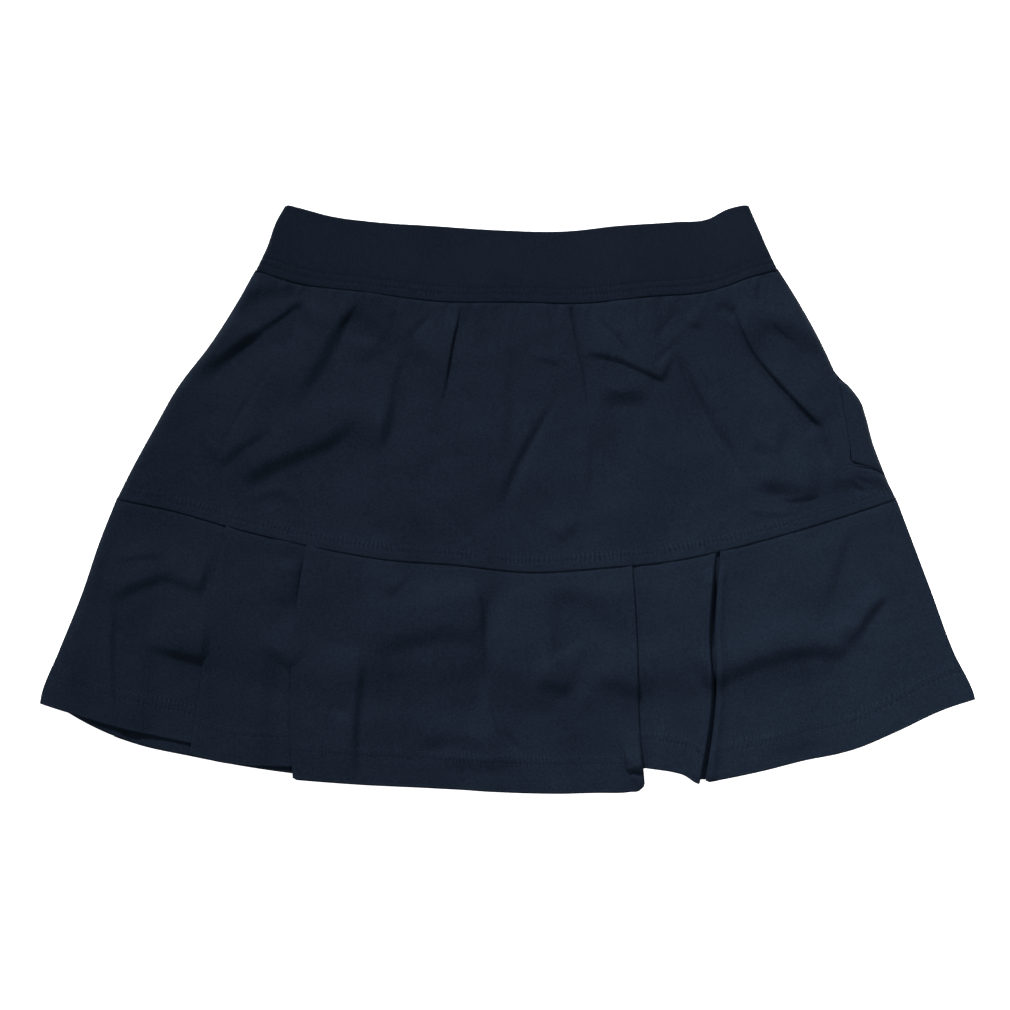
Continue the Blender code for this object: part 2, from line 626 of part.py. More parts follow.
def build_shorts(name, level):
    """One panel of the shorts: two legs that join above the crotch."""
    left_top = WAIST_SEAM[0][0] + SHORTS_SIDE_INSET
    right_top = WAIST_SEAM[-1][0] - SHORTS_SIDE_INSET
    halves = [shorts_half(left_top, LEFT_LEG, level),
              shorts_half(right_top, RIGHT_LEG, level)[:, ::-1]]
    return cloth_object(name, halves, SHORTS_WALL, LINING_COLOUR)


# ---------------------------------------------------------------- pocket
def bag_row(level_y):
    """(x, z) of one row of the bag: lower leaf inwards, its fold, upper leaf outwards."""
    radius = LAYER / 2
    fold = float(smooth_value(BAG_FOLD, level_y)) + radius + POCKET_WALL / 2
    mouth = float(smooth_value([(y, x) for x, y in MOUTH_SIDE[7::-1]], level_y))
    edge = float(smooth_value([(y, x) for x, y in SKIRT_RIGHT[::-1]], level_y))
    shows = float(smoothstep((MOUTH_TOP - BAG_MARGIN - level_y) / MOUTH_EASE))
    lip = mouth - LIP_INSET - (SEAM_INSET - LIP_INSET) * (1 - shows)
    end = edge - SEAM_INSET * (1 - shows)
    low = SKIRT_WALL + SEAM_GAP + POCKET_WALL / 2
    shares = np.linspace(0, 1, BAG_COLUMNS)[1:]
    row = []
    for distance in NEAR_SIDE:
        rise = rounded(distance, SIDE_ROUND) * shows + 1 - shows
        row.append((end - distance, low + (POCKET_LEVEL - low) * rise))
    row += [(end - SIDE_ROUND + (fold - end + SIDE_ROUND) * s, POCKET_LEVEL) for s in shares]
    for angle in np.linspace(0, math.pi, TURN_STEPS + 1)[1:]:
        height = POCKET_LEVEL + radius * (1 - math.cos(angle))
        row.append((fold - radius * math.sin(angle), height))
    row += [(fold + (lip - fold) * s, POCKET_LEVEL + LAYER) for s in shares]
    return row


def build_pocket_bag():
    """Two leaves of one folded bag; the lower one shows past the mouth and closes the side."""
    grid = []
    for v in np.linspace(0, 1, BAG_ROWS):
        level_y = BAG_TOP + (BAG_BOTTOM - BAG_TOP) * v
        slope = BAG_SLANT * v
        grid.append([(x, level_y - max(0.0, x - BAG_CORNER_X) * slope, z)
                     for x, z in bag_row(level_y)])
    return cloth_object("pocket_bag", [np.array(grid)], POCKET_WALL, LINING_COLOUR)


def main():
    for old in list(bpy.data.objects):
        bpy.data.objects.remove(old, do_unlink=True)
    collection = bpy.data.collections.new("tennis_skort")
    bpy.context.scene.collection.children.link(collection)
    build_waistband()
    build_skirt_front()
    build_skirt_back()
    build_flounce_front()
    build_flounce_back()
    build_shorts("shorts_back", SHORTS_BACK_LEVEL)
    build_shorts("shorts_front", SHORTS_FRONT_LEVEL)
    build_pocket_bag()


main()
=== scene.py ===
"""Tennis skort laid flat with its front up, in fine cloth, thread and studio light.

Every piece is a thin shell on its solid's form, made from the same tables of edges, pleats and
hems, with its creases laid on one by one. Tables and sizes are in millimetres unless they say
otherwise, meshes in metres. +X runs across the garment, +Y towards the waist, +Z up.
"""

import math
from collections import namedtuple
from functools import partial

import bpy
import numpy as np
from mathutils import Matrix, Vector


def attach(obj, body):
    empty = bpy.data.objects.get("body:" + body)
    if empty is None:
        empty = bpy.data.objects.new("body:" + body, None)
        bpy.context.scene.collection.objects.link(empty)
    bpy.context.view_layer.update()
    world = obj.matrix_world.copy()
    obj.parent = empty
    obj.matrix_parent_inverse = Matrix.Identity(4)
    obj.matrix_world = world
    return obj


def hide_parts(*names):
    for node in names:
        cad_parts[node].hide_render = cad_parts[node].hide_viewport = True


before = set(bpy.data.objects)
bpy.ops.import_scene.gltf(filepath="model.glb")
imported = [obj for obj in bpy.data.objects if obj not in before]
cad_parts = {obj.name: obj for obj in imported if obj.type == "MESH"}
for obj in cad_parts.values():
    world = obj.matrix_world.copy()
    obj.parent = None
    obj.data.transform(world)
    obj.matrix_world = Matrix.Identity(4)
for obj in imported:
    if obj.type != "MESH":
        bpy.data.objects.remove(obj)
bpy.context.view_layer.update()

MM = 0.001

# ---- levels shared with the solids
FRONT_LEVEL = 5.0
FLOUNCE_LEVEL = 1.9
SHORTS_BACK_LEVEL = 2.1
SHORTS_FRONT_LEVEL = 3.4
POCKET_LEVEL = 4.7
POCKET_LIFT = 2.5
SIDE_GAP = 0.3
SIDE_ROUND = 6.0
# Wall of each solid, so that a thinner shell keeps the solid's outer face.
SKIRT_SOLID = 1.2
FLOUNCE_SOLID = 1.0
LINING_SOLID = 1.0

# ---- cloth
CLOTH = 0.75
LINING = 0.6
LAYER = 1.0
SEAM_PRESS = 0.85
PRESS_FADE = 0.2
BAND_CLOTH = 2.0
BAND_HEIGHT = 5.6
BAND_DEPTH = 50.0
BAND_CROWN = 0.5
CORNER_LEFT = 2.6
CORNER_RIGHT = 4.2

# ---- outline curves: (x, y)
BAND_TOP = [(-155.6, 206.0), (-145.3, 203.4), (-124.3, 197.8), (-92.8, 193.6), (-50.8, 190.8),
            (-8.8, 188.0), (43.8, 187.3), (75.3, 190.8), (117.3, 193.6), (140.0, 195.6),
            (154.0, 202.6), (168.8, 206.2)]
WAIST_SEAM = [(-176.4, 159.6), (-150.2, 151.1), (-103.3, 144.6), (-45.2, 137.5), (8.8, 137.2),
              (52.2, 136.4), (100.0, 141.2), (142.5, 145.1), (173.6, 155.8), (189.4, 160.1)]
BAND_LEFT = [(-155.6, 206.0), (-161.4, 195.7), (-168.4, 176.0), (-176.4, 159.6)]
BAND_RIGHT = [(168.8, 206.2), (173.3, 195.7), (181.7, 176.0), (189.4, 160.1)]
FLOUNCE_SEAM = [(-273.4, -0.3), (-231.4, -9.4), (-197.0, -19.3), (-169.8, -26.3),
                (-124.3, -36.3), (-84.4, -42.9), (-40.3, -46.2), (19.3, -51.7), (64.8, -48.8),
                (115.2, -43.8), (146.7, -37.5), (183.1, -28.1), (239.1, -11.3), (272.0, -0.3)]
SKIRT_LEFT = [(-176.4, 159.6), (-189.4, 136.9), (-208.3, 107.5), (-230.7, 78.1),
              (-247.5, 48.7), (-263.6, 19.3), (-273.4, -0.3)]
SKIRT_RIGHT = [(189.4, 160.1), (204.1, 136.9), (220.2, 107.5), (229.6, 89.0), (241.0, 76.5),
               (247.0, 68.6), (250.6, 58.5), (255.9, 38.9), (263.6, 19.3), (272.0, -0.3)]
# The front's own side: down the pocket's mouth, then out round the foot of its strip.
MOUTH_SIDE = SKIRT_RIGHT[:3] + [(228.7, 88.5), (232.4, 76.5), (236.2, 54.0), (239.2, 36.0),
                                (240.6, 25.6), (250.0, 22.6), (261.0, 19.0), (266.4, 10.8),
                                (272.0, -0.3)]
FLOUNCE_LEFT = [(-273.4, -0.3), (-285.3, -29.8), (-298.6, -69.0), (-314.7, -108.2),
                (-326.6, -137.6), (-327.6, -143.8)]
FLOUNCE_RIGHT = [(272.0, -0.3), (283.2, -29.8), (297.9, -69.0), (312.6, -108.2),
                 (327.0, -137.0), (328.0, -140.8)]

# ---- flat cloth of the pieces
# Flat size and area in metres; without an area, the piece is as large as its flat size.
FLOUNCE_FRONT_SHEET = ((1.03, 0.185), 0.165)
FLOUNCE_BACK_SHEET = ((0.86, 0.185), 0.135)

# ---- pleats and hems
# A pleat has the x of its visible edge at the seam, a third and two thirds down, and the hem;
# how far its hidden fold lies to the right at the seam and at the hem, or to the left where
# negative; whether its layers climb from left to right; the length of the slope off its layers.
Pleat = namedtuple("Pleat", "seam third two_thirds hem depth_seam depth_hem climbs ramp")
FRONT_PLEATS = [
    Pleat(-197.0, -208.0, -214.5, -222.6, 36.0, 40.0, True, 16.0),
    Pleat(-141.0, -149.0, -151.8, -150.6, 45.0, 45.0, True, 45.0),
    Pleat(87.5, 90.6, 92.0, 96.2, -38.0, -36.0, False, 40.0),
    Pleat(146.0, 141.6, 143.0, 134.8, -28.0, -23.0, False, 12.0),
    Pleat(148.8, 145.2, 145.8, 138.8, 34.0, 40.0, True, 45.0),
]
BACK_PLEATS = [
    Pleat(-247.0, -258.0, -268.0, -276.0, -17.0, -26.0, True, 10.0),
    Pleat(17.0, 20.0, 25.0, 28.0, -12.0, -32.0, True, 10.0),
    Pleat(246.0, 260.0, 274.0, 288.0, -17.0, -26.0, True, 10.0),
]
RAMP_CLEAR = 2.0
EDGE_TOLERANCE = 0.01
FRONT_HEMS = [
    [(-327.6, -143.8), (-300.6, -152.1), (-274.0, -160.0), (-223.4, -171.4)],
    [(-222.6, -179.6), (-204.0, -184.1), (-189.4, -186.5), (-153.4, -188.0)],
    [(-150.6, -197.0), (-113.0, -199.9), (-37.5, -204.0), (20.0, -206.6), (63.4, -206.2),
     (86.0, -205.6), (93.0, -204.2), (96.2, -200.6)],
    [(96.2, -189.0), (104.0, -190.0), (114.7, -191.5), (125.0, -194.6), (131.2, -198.9),
     (134.8, -200.4)],
    [(134.8, -197.0), (138.8, -197.0)],
    [(138.8, -199.0), (155.0, -196.0), (173.3, -192.2), (206.9, -184.0), (237.7, -177.5),
     (271.3, -163.9), (303.5, -148.8), (328.0, -140.8)],
]
BACK_HEM = [(-322.0, -141.0), (-305.3, -152.1), (-266.8, -170.2), (-220.9, -181.1),
            (-153.4, -192.5), (-75.0, -198.0), (0.0, -197.0), (60.0, -191.0), (100.0, -185.0),
            (160.0, -182.0), (237.0, -168.0), (300.0, -143.0), (322.0, -136.0)]
HIDDEN_HEM_INSET = 1.0
HIDDEN = -1
BACK_INSET = 5.0
BACK_SIDE_POINTS = 4
BACK_PLEAT_MARGIN = 9.0
BACK_PLEAT_SHOULDER = 20.0
BACK_PLEAT_LIFT = 2.8

# ---- shorts
SHORTS_SIDE_INSET = 15.0
THIGH_SHARE = 0.27
CROTCH = (17.0, -28.0)
LEFT_LEG = [(-230.0, -86.0), (-34.0, -112.0)]
RIGHT_LEG = [(236.0, -90.0), (68.0, -112.0)]
LEG_GROUNDS = [
    [(-214.0, 20.0), (-232.0, -88.0), (-34.0, -115.0), (40.0, -20.0)],
    [(0.0, -20.0), (66.0, -115.0), (238.0, -92.0), (220.0, 20.0)],
]
LEG_SHOULDER = 38.0

# ---- pocket
BAG_FOLD = [(16.0, 232.5), (33.3, 231.4), (49.4, 227.6), (67.8, 207.6), (82.6, 194.1),
            (100.0, 180.7), (118.0, 171.0)]
BAG_TOP = 118.0
BAG_BOTTOM = 24.1
BAG_CORNER_X = 241.2
BAG_SLANT = 0.32
BAG_MARGIN = 2.0
BAG_FLOOR = 16.0
BAG_SHOULDER = 12.0
BAG_TOP_SHOULDER = 34.0
BAG_TURN = 1.4
STRIP_RISE = 3.9
STRIP_EASE = 2.0
STRIP_LEAD = 1.6
MOUTH_POINTS = 8
MOUTH_TOP = 88.5
MOUTH_FOOT = 18.0
MOUTH_EASE = 6.0
LIP_INSET = 1.8
SEAM_INSET = 12.0

# ---- seams and stitching
# How far the lower cloth runs in under the upper one at a seam.
SEAM_LAP = 0.8
BAND_LAP = 0.5
BAND_TUCK = 0.35
BAND_TUCK_WIDTH = 1.6
BAND_RISE = 0.4
EDGE_ROLL = 0.3
EDGE_ROLL_WIDTH = 0.6
SEAM_RAISE = 0.35
SEAM_SINK = 0.6
SEAM_SINK_WIDTH = 2.4
SEAM_FADE = 0.7
BULK_LENGTH = 30.0
BULK_SPREAD = 7.0
# Distance of each row of stitches from its seam or hem.
WAIST_ROWS = (5.5, 10.0)
SEAM_ROWS = (7.0, 10.0)
HEM_ROWS = (20.0, 25.5)
LEG_HEM_ROWS = (14.0, 17.0)
ROW_SINK = 0.22
ROW_SINK_WIDTH = 0.9
HEM_RAISE = 0.3
HEM_EASE = 2.0
STITCH_LENGTH = 2.3
STITCH_GAP = 0.55
THREAD_RADIUS = 0.19
THREAD_SIDES = 5
# Height of a stitch's middle line over the cloth, and its thickness, from end to end, in radii.
STITCH_RISE = (-1.0, 0.3, 0.7, 0.3, -1.0)
STITCH_SWELL = (0.6, 1.0, 1.1, 1.0, 0.6)
TACK = [(238.6, 20.4), (243.4, 19.6)]
TACK_ROWS = 3
TACK_SPACING = 0.7
TACK_LEVEL = 6.4
TACK_STITCH = 1.0
TACK_GAP = 0.1
TACK_POINTS = 5

# ---- creases
# A crease runs along a line. A ridge rises over its half width, or sinks where its height is
# negative. A lip is a steep face over its width, whose high side, to the left of the way the
# line runs, falls away over a distance; a drop's low side climbs back instead; a ledge does both
# by halves. A negative height puts the high side on the right. Spread is how many times wider
# the crease is at the end of its line; start and end are the shares over which it fades; a
# panel keeps it to one panel of the flounce.
Crease = namedtuple("Crease", "kind height width line spread fall start end panel",
                    defaults=(1.0, 8.0, 0.3, 0.3, None))
ridge, lip, ledge, drop = (partial(Crease, kind) for kind in ("ridge", "lip", "ledge", "drop"))
HIGH_SHARE = {"lip": 1.0, "ledge": 0.5, "drop": 0.0}
# A side falls away as a bell this many falls wide.
FALL_REACH = 1.3
CREASE_SAMPLES = 48
# A crease ends this many of its widths and falls out from its line.
WIDTHS_OUT = 3
FALLS_OUT = 4
# Creases sink and rise in over these distances from a seam, but not into the cloth below them.
SINK_CALM = 4.0
RISE_CALM = 22.0
GROUND_EASE = 0.3
SHORTS_TOP = 4.1
FLOUNCE_GROUND = 1.2
# How far the cloth stands off the shorts above the flounce's seam, and the flounce off its legs.
PUFF = 1.5
PUFF_REACH = 45.0
FLOUNCE_PUFF = 1.2
SKIRT_CREASES = [
    # Folds that fan out from the left end of the waistband.
    drop(-4, 15, [(-142.4, 148), (-167.6, 145.9), (-184.4, 138.2), (-197, 123.5)], spread=1.2, fall=30,
        start=0.15, end=0.25),
    lip(2.4, 44, [(-190, 74.5), (-131.2, 74.5), (-72.4, 82.9)], fall=40, start=0.4),
    ledge(-5.2, 5.5, [(-138.9, 139.6), (-148, 134), (-156.4, 127), (-166.2, 120), (-180.2, 111.6),
        (-194.2, 101.1), (-209.6, 89.2), (-219.4, 80.1)], spread=2.4, fall=18, start=0.15, end=0.25),
    ridge(-0.5, 1.6, [(-152.2, 107.4), (-160.6, 96.9), (-169.8, 86.4), (-180.2, 68.9), (-189.3, 54.9),
        (-196.3, 40.9), (-203.3, 19.9)], spread=1.5, start=0.5, end=0.2),
    drop(-1.8, 2.8, [(-101.1, 139.6), (-109.5, 131.2), (-115.1, 122.1), (-119.3, 110.9)], spread=2,
        fall=12, start=0.25, end=0.4),
    drop(-3.6, 11, [(-107.4, 134.8), (-120, 113.7), (-131.2, 93.4), (-143.8, 73.8), (-157.1, 57)],
        fall=32, start=0.15, end=0.5),
    drop(-3.4, 15, [(-72.4, 122.1), (-82.2, 112.3), (-94.8, 101.8), (-110.2, 92.8)], fall=32, start=0.4,
        end=0.4),
    ridge(-0.9, 1.9, [(-48.6, 131.2), (-59.8, 121.4), (-67.5, 111.6), (-71, 99.8)], spread=2),
    lip(-2.8, 9, [(-65.5, 113.7), (-73.1, 95.5), (-78.8, 74.5), (-83.6, 51.4), (-89.2, 29.7)], fall=22,
        start=0.25),
    ledge(-4.4, 13, [(-97.6, 66.1), (-112.3, 50), (-127, 37.4), (-145.2, 30.4), (-166.2, 21.3),
        (-188.6, 8.8)], fall=36, start=0.4, end=0.15),
    lip(-2, 7, [(-162, 49.3), (-175.3, 42.3), (-188.6, 33.2), (-201.9, 20.6)], fall=16, start=0.4,
        end=0.2),
    ridge(1.1, 4, [(-185.1, -4.5), (-171.8, 3.1), (-158.5, 5.9), (-148, -1.8), (-142.4, -14.3)]),
    ridge(0.5, 2.4, [(-171.8, -14.3), (-159.9, -6.6), (-151.5, -13.6)]),
    ridge(-0.8, 3, [(-166.2, -17.8), (-154.3, -22.8), (-143.1, -19.2)]),
    ridge(-0.6, 4, [(-78, 131.9), (-80.1, 121.4), (-82.2, 110.9)]),
    ledge(-1.6, 8, [(-81.5, 70.3), (-84.3, 51.4), (-88.5, 26.9)], fall=18, start=0.5, end=0.5),
    # Tucks that run straight down from the waist, and the lines between them.
    ledge(-2.6, 1.9, [(-32.9, 138.2), (-35, 123.5), (-38.5, 107.4), (-42, 86.4), (-44.7, 72.4),
        (-49.3, 56.3)], spread=1.5, fall=9, start=0.22, end=0.5),
    ridge(-0.5, 2, [(-54.2, 49.3), (-50, 43.8), (-45.8, 38.1)]),
    ridge(-0.6, 5, [(-16.4, 120.7), (-17.8, 109.5), (-19.2, 98.3)]),
    lip(-1.8, 9, [(3.8, 123.5), (1, 89.9), (-1, 47.9), (-4.5, 14.3)], spread=1.4, fall=24),
    ridge(-1.3, 1.8, [(38.8, 77.3), (22.8, 50), (10.1, 26.9), (-0.3, 2.4), (-5.2, -16.4)], spread=3),
    lip(-1.8, 7, [(31.8, 67.5), (17.1, 43.8), (4.5, 19.9), (-6.6, -10.8)], fall=20, start=0.4),
    ridge(-0.5, 2, [(-36, 22.8), (-29.7, 7.3), (-28.3, -4.5)]),
    lip(0.9, 2.6, [(14.3, 99.8), (29.7, 95.5), (39.5, 92.8)], fall=7),
    ridge(-1.4, 1.1, [(44.4, 134.8), (49, 109.5), (54.2, 86.4), (57.7, 61.9), (59.8, 49.3)], spread=1.6,
        start=0.04, end=0.5),
    ledge(-0.8, 6, [(59.1, 54.9), (57.7, 26.9), (55.6, -8)], fall=12),
    lip(2.5, 3, [(48.6, 99.8), (64.8, 99.8), (78.8, 96.2), (92.8, 89.9), (110.9, 82.2)], fall=14,
        end=0.08),
    ridge(-1.3, 1.8, [(61.2, 127.7), (75.2, 113), (83.6, 102.5), (88.5, 92.8)]),
    ledge(4.2, 14, [(60.5, 68.2), (73.1, 70.3), (88.5, 71), (103.9, 68.9)], fall=34, start=0.35,
        end=0.35),
    ridge(0.6, 1.2, [(66.1, 80.1), (74.5, 76.6), (82.9, 69.6)]),
    ridge(0.4, 2.4, [(127.7, 123.5), (117.2, 113.7), (104.6, 99.8)], end=0.25),
    ridge(-0.7, 1.9, [(120, 131.9), (110.2, 120), (103.2, 110.2)]),
    ridge(-0.8, 1.5, [(119.3, 110.2), (109.5, 100.4), (102.5, 92.8)], end=0.2),
    lip(1.5, 6, [(122.8, 124.2), (130.5, 120.7), (137.5, 120)], fall=12, start=0.4, end=0.4),
    ridge(-2, 2.1, [(117.2, 104.6), (125.6, 86.4), (134.8, 67.5), (145.2, 47.9), (152.2, 36),
        (160.6, 19.9), (163.4, 1.8)], spread=2.5, start=0.15),
    lip(1.5, 5, [(122.1, 95.5), (133.3, 70.3), (143.8, 50.8), (153.6, 33.9)], fall=14),
    # The long curved fold beside the pocket.
    ledge(2.5, 1.8, [(155.8, 141), (159.2, 130.5), (164.1, 117.9), (171.8, 102.5), (182.3, 89.2),
        (194.2, 75.9), (204.8, 64.8), (213.1, 56.3), (220.8, 49.3)], fall=12, end=0.08),
    ridge(-1.2, 4, [(145.2, 135.4), (152.9, 131.2), (161.3, 126.3)]),
    ledge(3.4, 16, [(175.3, 129.2), (192.1, 119.3), (207.5, 110.2), (228.5, 96.9)], fall=34,
        start=0.35),
    drop(1, 2.6, [(182.3, 126.3), (190.8, 117.2), (202.6, 108.1)], fall=9),
    ridge(-0.6, 3, [(174.6, 148.8), (175.3, 141.8), (174.6, 133.3)]),
    lip(1.8, 10, [(166.2, 36.8), (178.1, 35.3), (193.5, 31.1)], fall=18, start=0.35, end=0.35),
    ridge(-0.9, 3.4, [(218, 43.8), (222.9, 33.9), (225.7, 21.3)]),
    ridge(-0.7, 2, [(240.4, 17.1), (248.1, 12.2), (257.9, 10.1)]),
    ridge(-0.6, 1.8, [(238.3, 14.3), (243.9, 7.3), (250.9, 3.8)]),
    lip(3.6, 12, [(166.9, 10.8), (185.1, 8), (201.9, 5.2), (225.7, 5.2)], fall=14),
    lip(1.4, 2.4, [(189.3, -1), (204.8, -1), (220.1, 3.1)], fall=5),
    lip(0.8, 3.5, [(164.1, -8), (183.8, -12.2), (204.8, -10.8)], fall=6),
    lip(-1.6, 8, [(53.5, -13.6), (43.8, -22.8), (31.1, -34.6)], fall=9, start=0.4, end=0.4),
]
FLOUNCE_CREASES = [
    # Left panel and what shows of the next one.
    lip(1.3, 4, [(-276.8, -45.8), (-264.2, -42.3), (-250.2, -40.9), (-236.2, -41.6)], fall=9),
    ridge(-0.9, 2.8, [(-285.2, -45.1), (-282.4, -50.8), (-279.6, -57.7)]),
    lip(-1.5, 2.2, [(-274.4, -62.6), (-275.7, -92), (-276.5, -113), (-275.7, -134), (-274.4, -156.4)],
        fall=7),
    lip(3.2, 9, [(-281.8, -75.2), (-268.4, -66.1), (-253.7, -59.8), (-239.7, -56.3), (-225.7, -60.5),
        (-211, -65.5)], fall=13, end=0.1, panel=0),
    lip(4.8, 8, [(-262.8, -102.5), (-243.2, -106), (-227.8, -109.5), (-205.4, -114.4)], fall=20,
        start=0.6, end=0.2, panel=0),
    ledge(-4.2, 10, [(-145.2, -39.5), (-145.9, -55.6), (-149.4, -78)], fall=12, panel=1),
    lip(3.4, 9, [(-176, -98.3), (-164.1, -108.1), (-155, -115.8), (-145.2, -125.6)], fall=18, start=0.5,
        end=0.35, panel=1),
    ridge(-1, 8, [(-187.2, -125.6), (-171.8, -132.7), (-156.4, -139.6)], panel=1),
    # Middle panel.
    lip(-3.4, 6, [(-100.4, -100.4), (-103.2, -134), (-106, -160.6), (-106, -201.2)], fall=30),
    ridge(-1.3, 4, [(-124.2, -143.1), (-118.6, -148), (-113, -152.9)]),
    lip(-1.6, 5, [(-64.8, -50.8), (-75.2, -60.5), (-86.4, -70.3)], fall=24),
    lip(-2.2, 5, [(-24.8, -44.4), (-19.2, -67.5), (-16.8, -88.5), (-16.4, -109.5), (-12.9, -128.4)],
        fall=44),
    lip(5, 36, [(-23.4, -128.4), (8.8, -134), (46.5, -134)], fall=40, start=0.25),
    ridge(-2.2, 2.6, [(-16.4, -99), (-12.9, -127), (-8.8, -148), (-1.8, -165.5), (10.8, -181.6)],
        end=0.15),
    lip(3.4, 16, [(-96.2, -115.8), (-83.6, -104.6), (-71.8, -99.8), (-54.2, -96.9), (-36.8, -95.5),
        (-13.6, -99)], fall=24, end=0.15),
    lip(2.6, 13, [(-68.2, -176), (-48.6, -170.4), (-33.2, -169.8), (-17.8, -173.2), (-5.2, -180.9)],
        fall=24),
    lip(2.2, 12, [(-54.2, -185.8), (-22.8, -186.5), (15.7, -185.8)], fall=16),
    ledge(4.4, 24, [(19.9, -64), (49.3, -69.6), (68.9, -85), (78.8, -106)], fall=40, end=0.4),
    ridge(-0.8, 4, [(26.9, -54.9), (42.3, -57.7), (59.1, -54.9)]),
    lip(3.2, 13, [(15.7, -129.2), (31.1, -131.9), (46.5, -137.5)], fall=18, start=0.35, end=0.35),
    lip(2.2, 13, [(59.1, -127), (77.3, -131.2), (94.1, -139.6)], fall=18, start=0.35, end=0.2),
    lip(4, 2.8, [(82.2, -190.8), (88.5, -189.7), (98.3, -189.3)], fall=12, start=0.25, end=0.02,
        panel=2),
    ridge(1.8, 1.6, [(85.8, -192.8), (90.6, -197), (96.2, -201.9)], start=0.2, end=0.1, panel=2),
    # Beside the inverted pleat, and its hollow.
    ridge(-1.2, 1.6, [(88.2, -44.4), (89.2, -66.8), (91.3, -85), (92, -116.5), (93.8, -141)],
        start=0.05, end=0.1, panel=3),
    ridge(2.6, 4.2, [(145.9, -40.2), (142.4, -64), (142.4, -85), (144.5, -116.5), (143.1, -141),
        (136.8, -198.4)], start=0.1, end=0.02, panel=3),
    ridge(2.4, 4.2, [(150.1, -40.2), (146.6, -64), (145.9, -85), (147.3, -116.5), (146.6, -141),
        (141.8, -198.4)], start=0.1, end=0.02, panel=5),
    ridge(-2.6, 8, [(148, -37.4), (144.5, -64), (143.8, -85), (145.9, -116.5), (145.2, -141),
        (138.9, -198.4)], start=0.03, end=0.01, panel=4),
    # Right panel.
    lip(3.4, 13, [(134.8, -132.7), (152.2, -126.3), (166.2, -119.3), (180.2, -113.7), (197.8, -108.8),
        (218.8, -107.4), (241.1, -111.6)], fall=13, start=0.1, end=0.12),
    lip(-3.6, 8, [(269.1, -64), (252.3, -83.6), (239.7, -104.6)]),
    lip(-2.4, 10, [(248.1, -6.6), (236.2, -32.5), (227.1, -60.5), (220.1, -85)], fall=24),
    ridge(-0.7, 3, [(267.8, -12.2), (269.8, -20.6), (274, -30.4)]),
    ridge(-0.9, 4, [(179.5, -180.2), (204.8, -178.1), (229.9, -171.8)]),
]

# Puckers where cloth is eased into a seam: seed, height and reach away from it.
WAIST_PUCKER = (3, 0.2, 12.0)
SEAM_PUCKER = (5, 0.05, 7.0)
FLOUNCE_PUCKER = (7, 0.05, 7.0)
BAND_PUCKER = (9, 0.025, 7.0)
# How many ripples add up, their wavelengths, and how many of those lie from swell to swell.
PUCKER_COUNT = 7
PUCKER_SHORTEST = 5.0
PUCKER_LONGEST = 17.0
PUCKER_SWELL = 5
PUCKER_EASE = 4.0

# Slow waves, so that no stretch of cloth lies quite flat.
WAVE_SEED = 11
WAVE_COUNT = 26
WAVE_SHORTEST = 16.0
WAVE_LONGEST = 90.0
WAVE_SLOPE = 0.012
BAND_WAVE = 0.5

# ---- looks
# Each cloth's dark and light yarn, its wales and courses to the metre, and their relief.
CLOTHS = {
    "skirt_knit": ((0.0028, 0.0047, 0.0092), (0.0080, 0.0122, 0.0215), 2000.0, 2300.0, 0.014),
    "band_knit": ((0.0022, 0.0036, 0.0074), (0.0066, 0.0098, 0.0176), 590.0, 2300.0, 0.04),
    "lining_knit": ((0.0028, 0.0047, 0.0092), (0.0080, 0.0122, 0.0215), 2000.0, 2400.0, 0.014),
    "thread": ((0.0060, 0.0095, 0.0170), (0.0130, 0.0190, 0.0310), 2500.0, 2500.0, 0.02),
}
CLOTH_ROUGHNESS = 0.78
CLOTH_GLOSS = 0.10
CLOTH_TINT = (0.45, 0.68, 1.0, 1.0)
# Scales of noise and the rate of ticks are to the metre.
FLECK_SCALE = 700.0
FLECK_SHARE = 1.6
FLECK_HEIGHT = 2.5
TONE_SCALE = 22.0
TONE_SHARE = 0.5
WEAR_SCALE = 160.0
WEAR_SHARE = 0.35
ROUGHNESS_SHARE = 0.2
DRIFT_SCALE = 90.0
COURSE_SHARE = 0.5
EDGE_WEAR_WIDTH = 1.6
SEWN_WIDTH = 1.5
TICK_RATE = 370.0
TICK_DRIFT = 2.0
TICK_UNEVEN = 60.0
TICK_LEAST = 0.45
TICK_PATCH = 22.0
TICK_CONTRAST = 3.0
# Share of the ticks in the cloth's colour: thread showing along the rows, and painted shade in the
# dents that the stitches press.
TICK_THREAD_AND_SHADE_SHARE = 0.45
TICK_HEIGHT = 2.5
# Where each light stands and what it looks at in metres, its size, beam spread and power.
LIGHTS = {
    "key": ((-2.25, 7.2, 5.1), (0.50, -0.50, 0.0), 1.8, 15.0, 20.8),
    "side": ((0.55, -0.30, 0.72), (0.30, -0.12, 0.0), 0.5, 80.0, 1.0),
    "fill": ((-0.75, -0.70, 0.50), (-0.37, -0.27, 0.0), 0.5, 65.0, 0.6),
}
WHITE = (1.0, 1.0, 1.0, 1.0)
AMBIENT = 0.08
FLOOR_COLOUR = (0.9, 0.9, 0.9, 1.0)
FLOOR_ROUGHNESS = 0.9
FLOOR_GLOW = 0.85
FLOOR_LEVEL = -0.2
LENS = 100.0
SENSOR = 36.0
FRAME_WIDTH = 707.0
CAMERA_CENTRE = (-1.75, -4.55)
CAMERA_LEVEL = 5.0
# How near and how far the camera sees and how far the floor reaches, in metres.
CAMERA_REACH = (0.1, 20.0)
FLOOR_REACH = 3.0

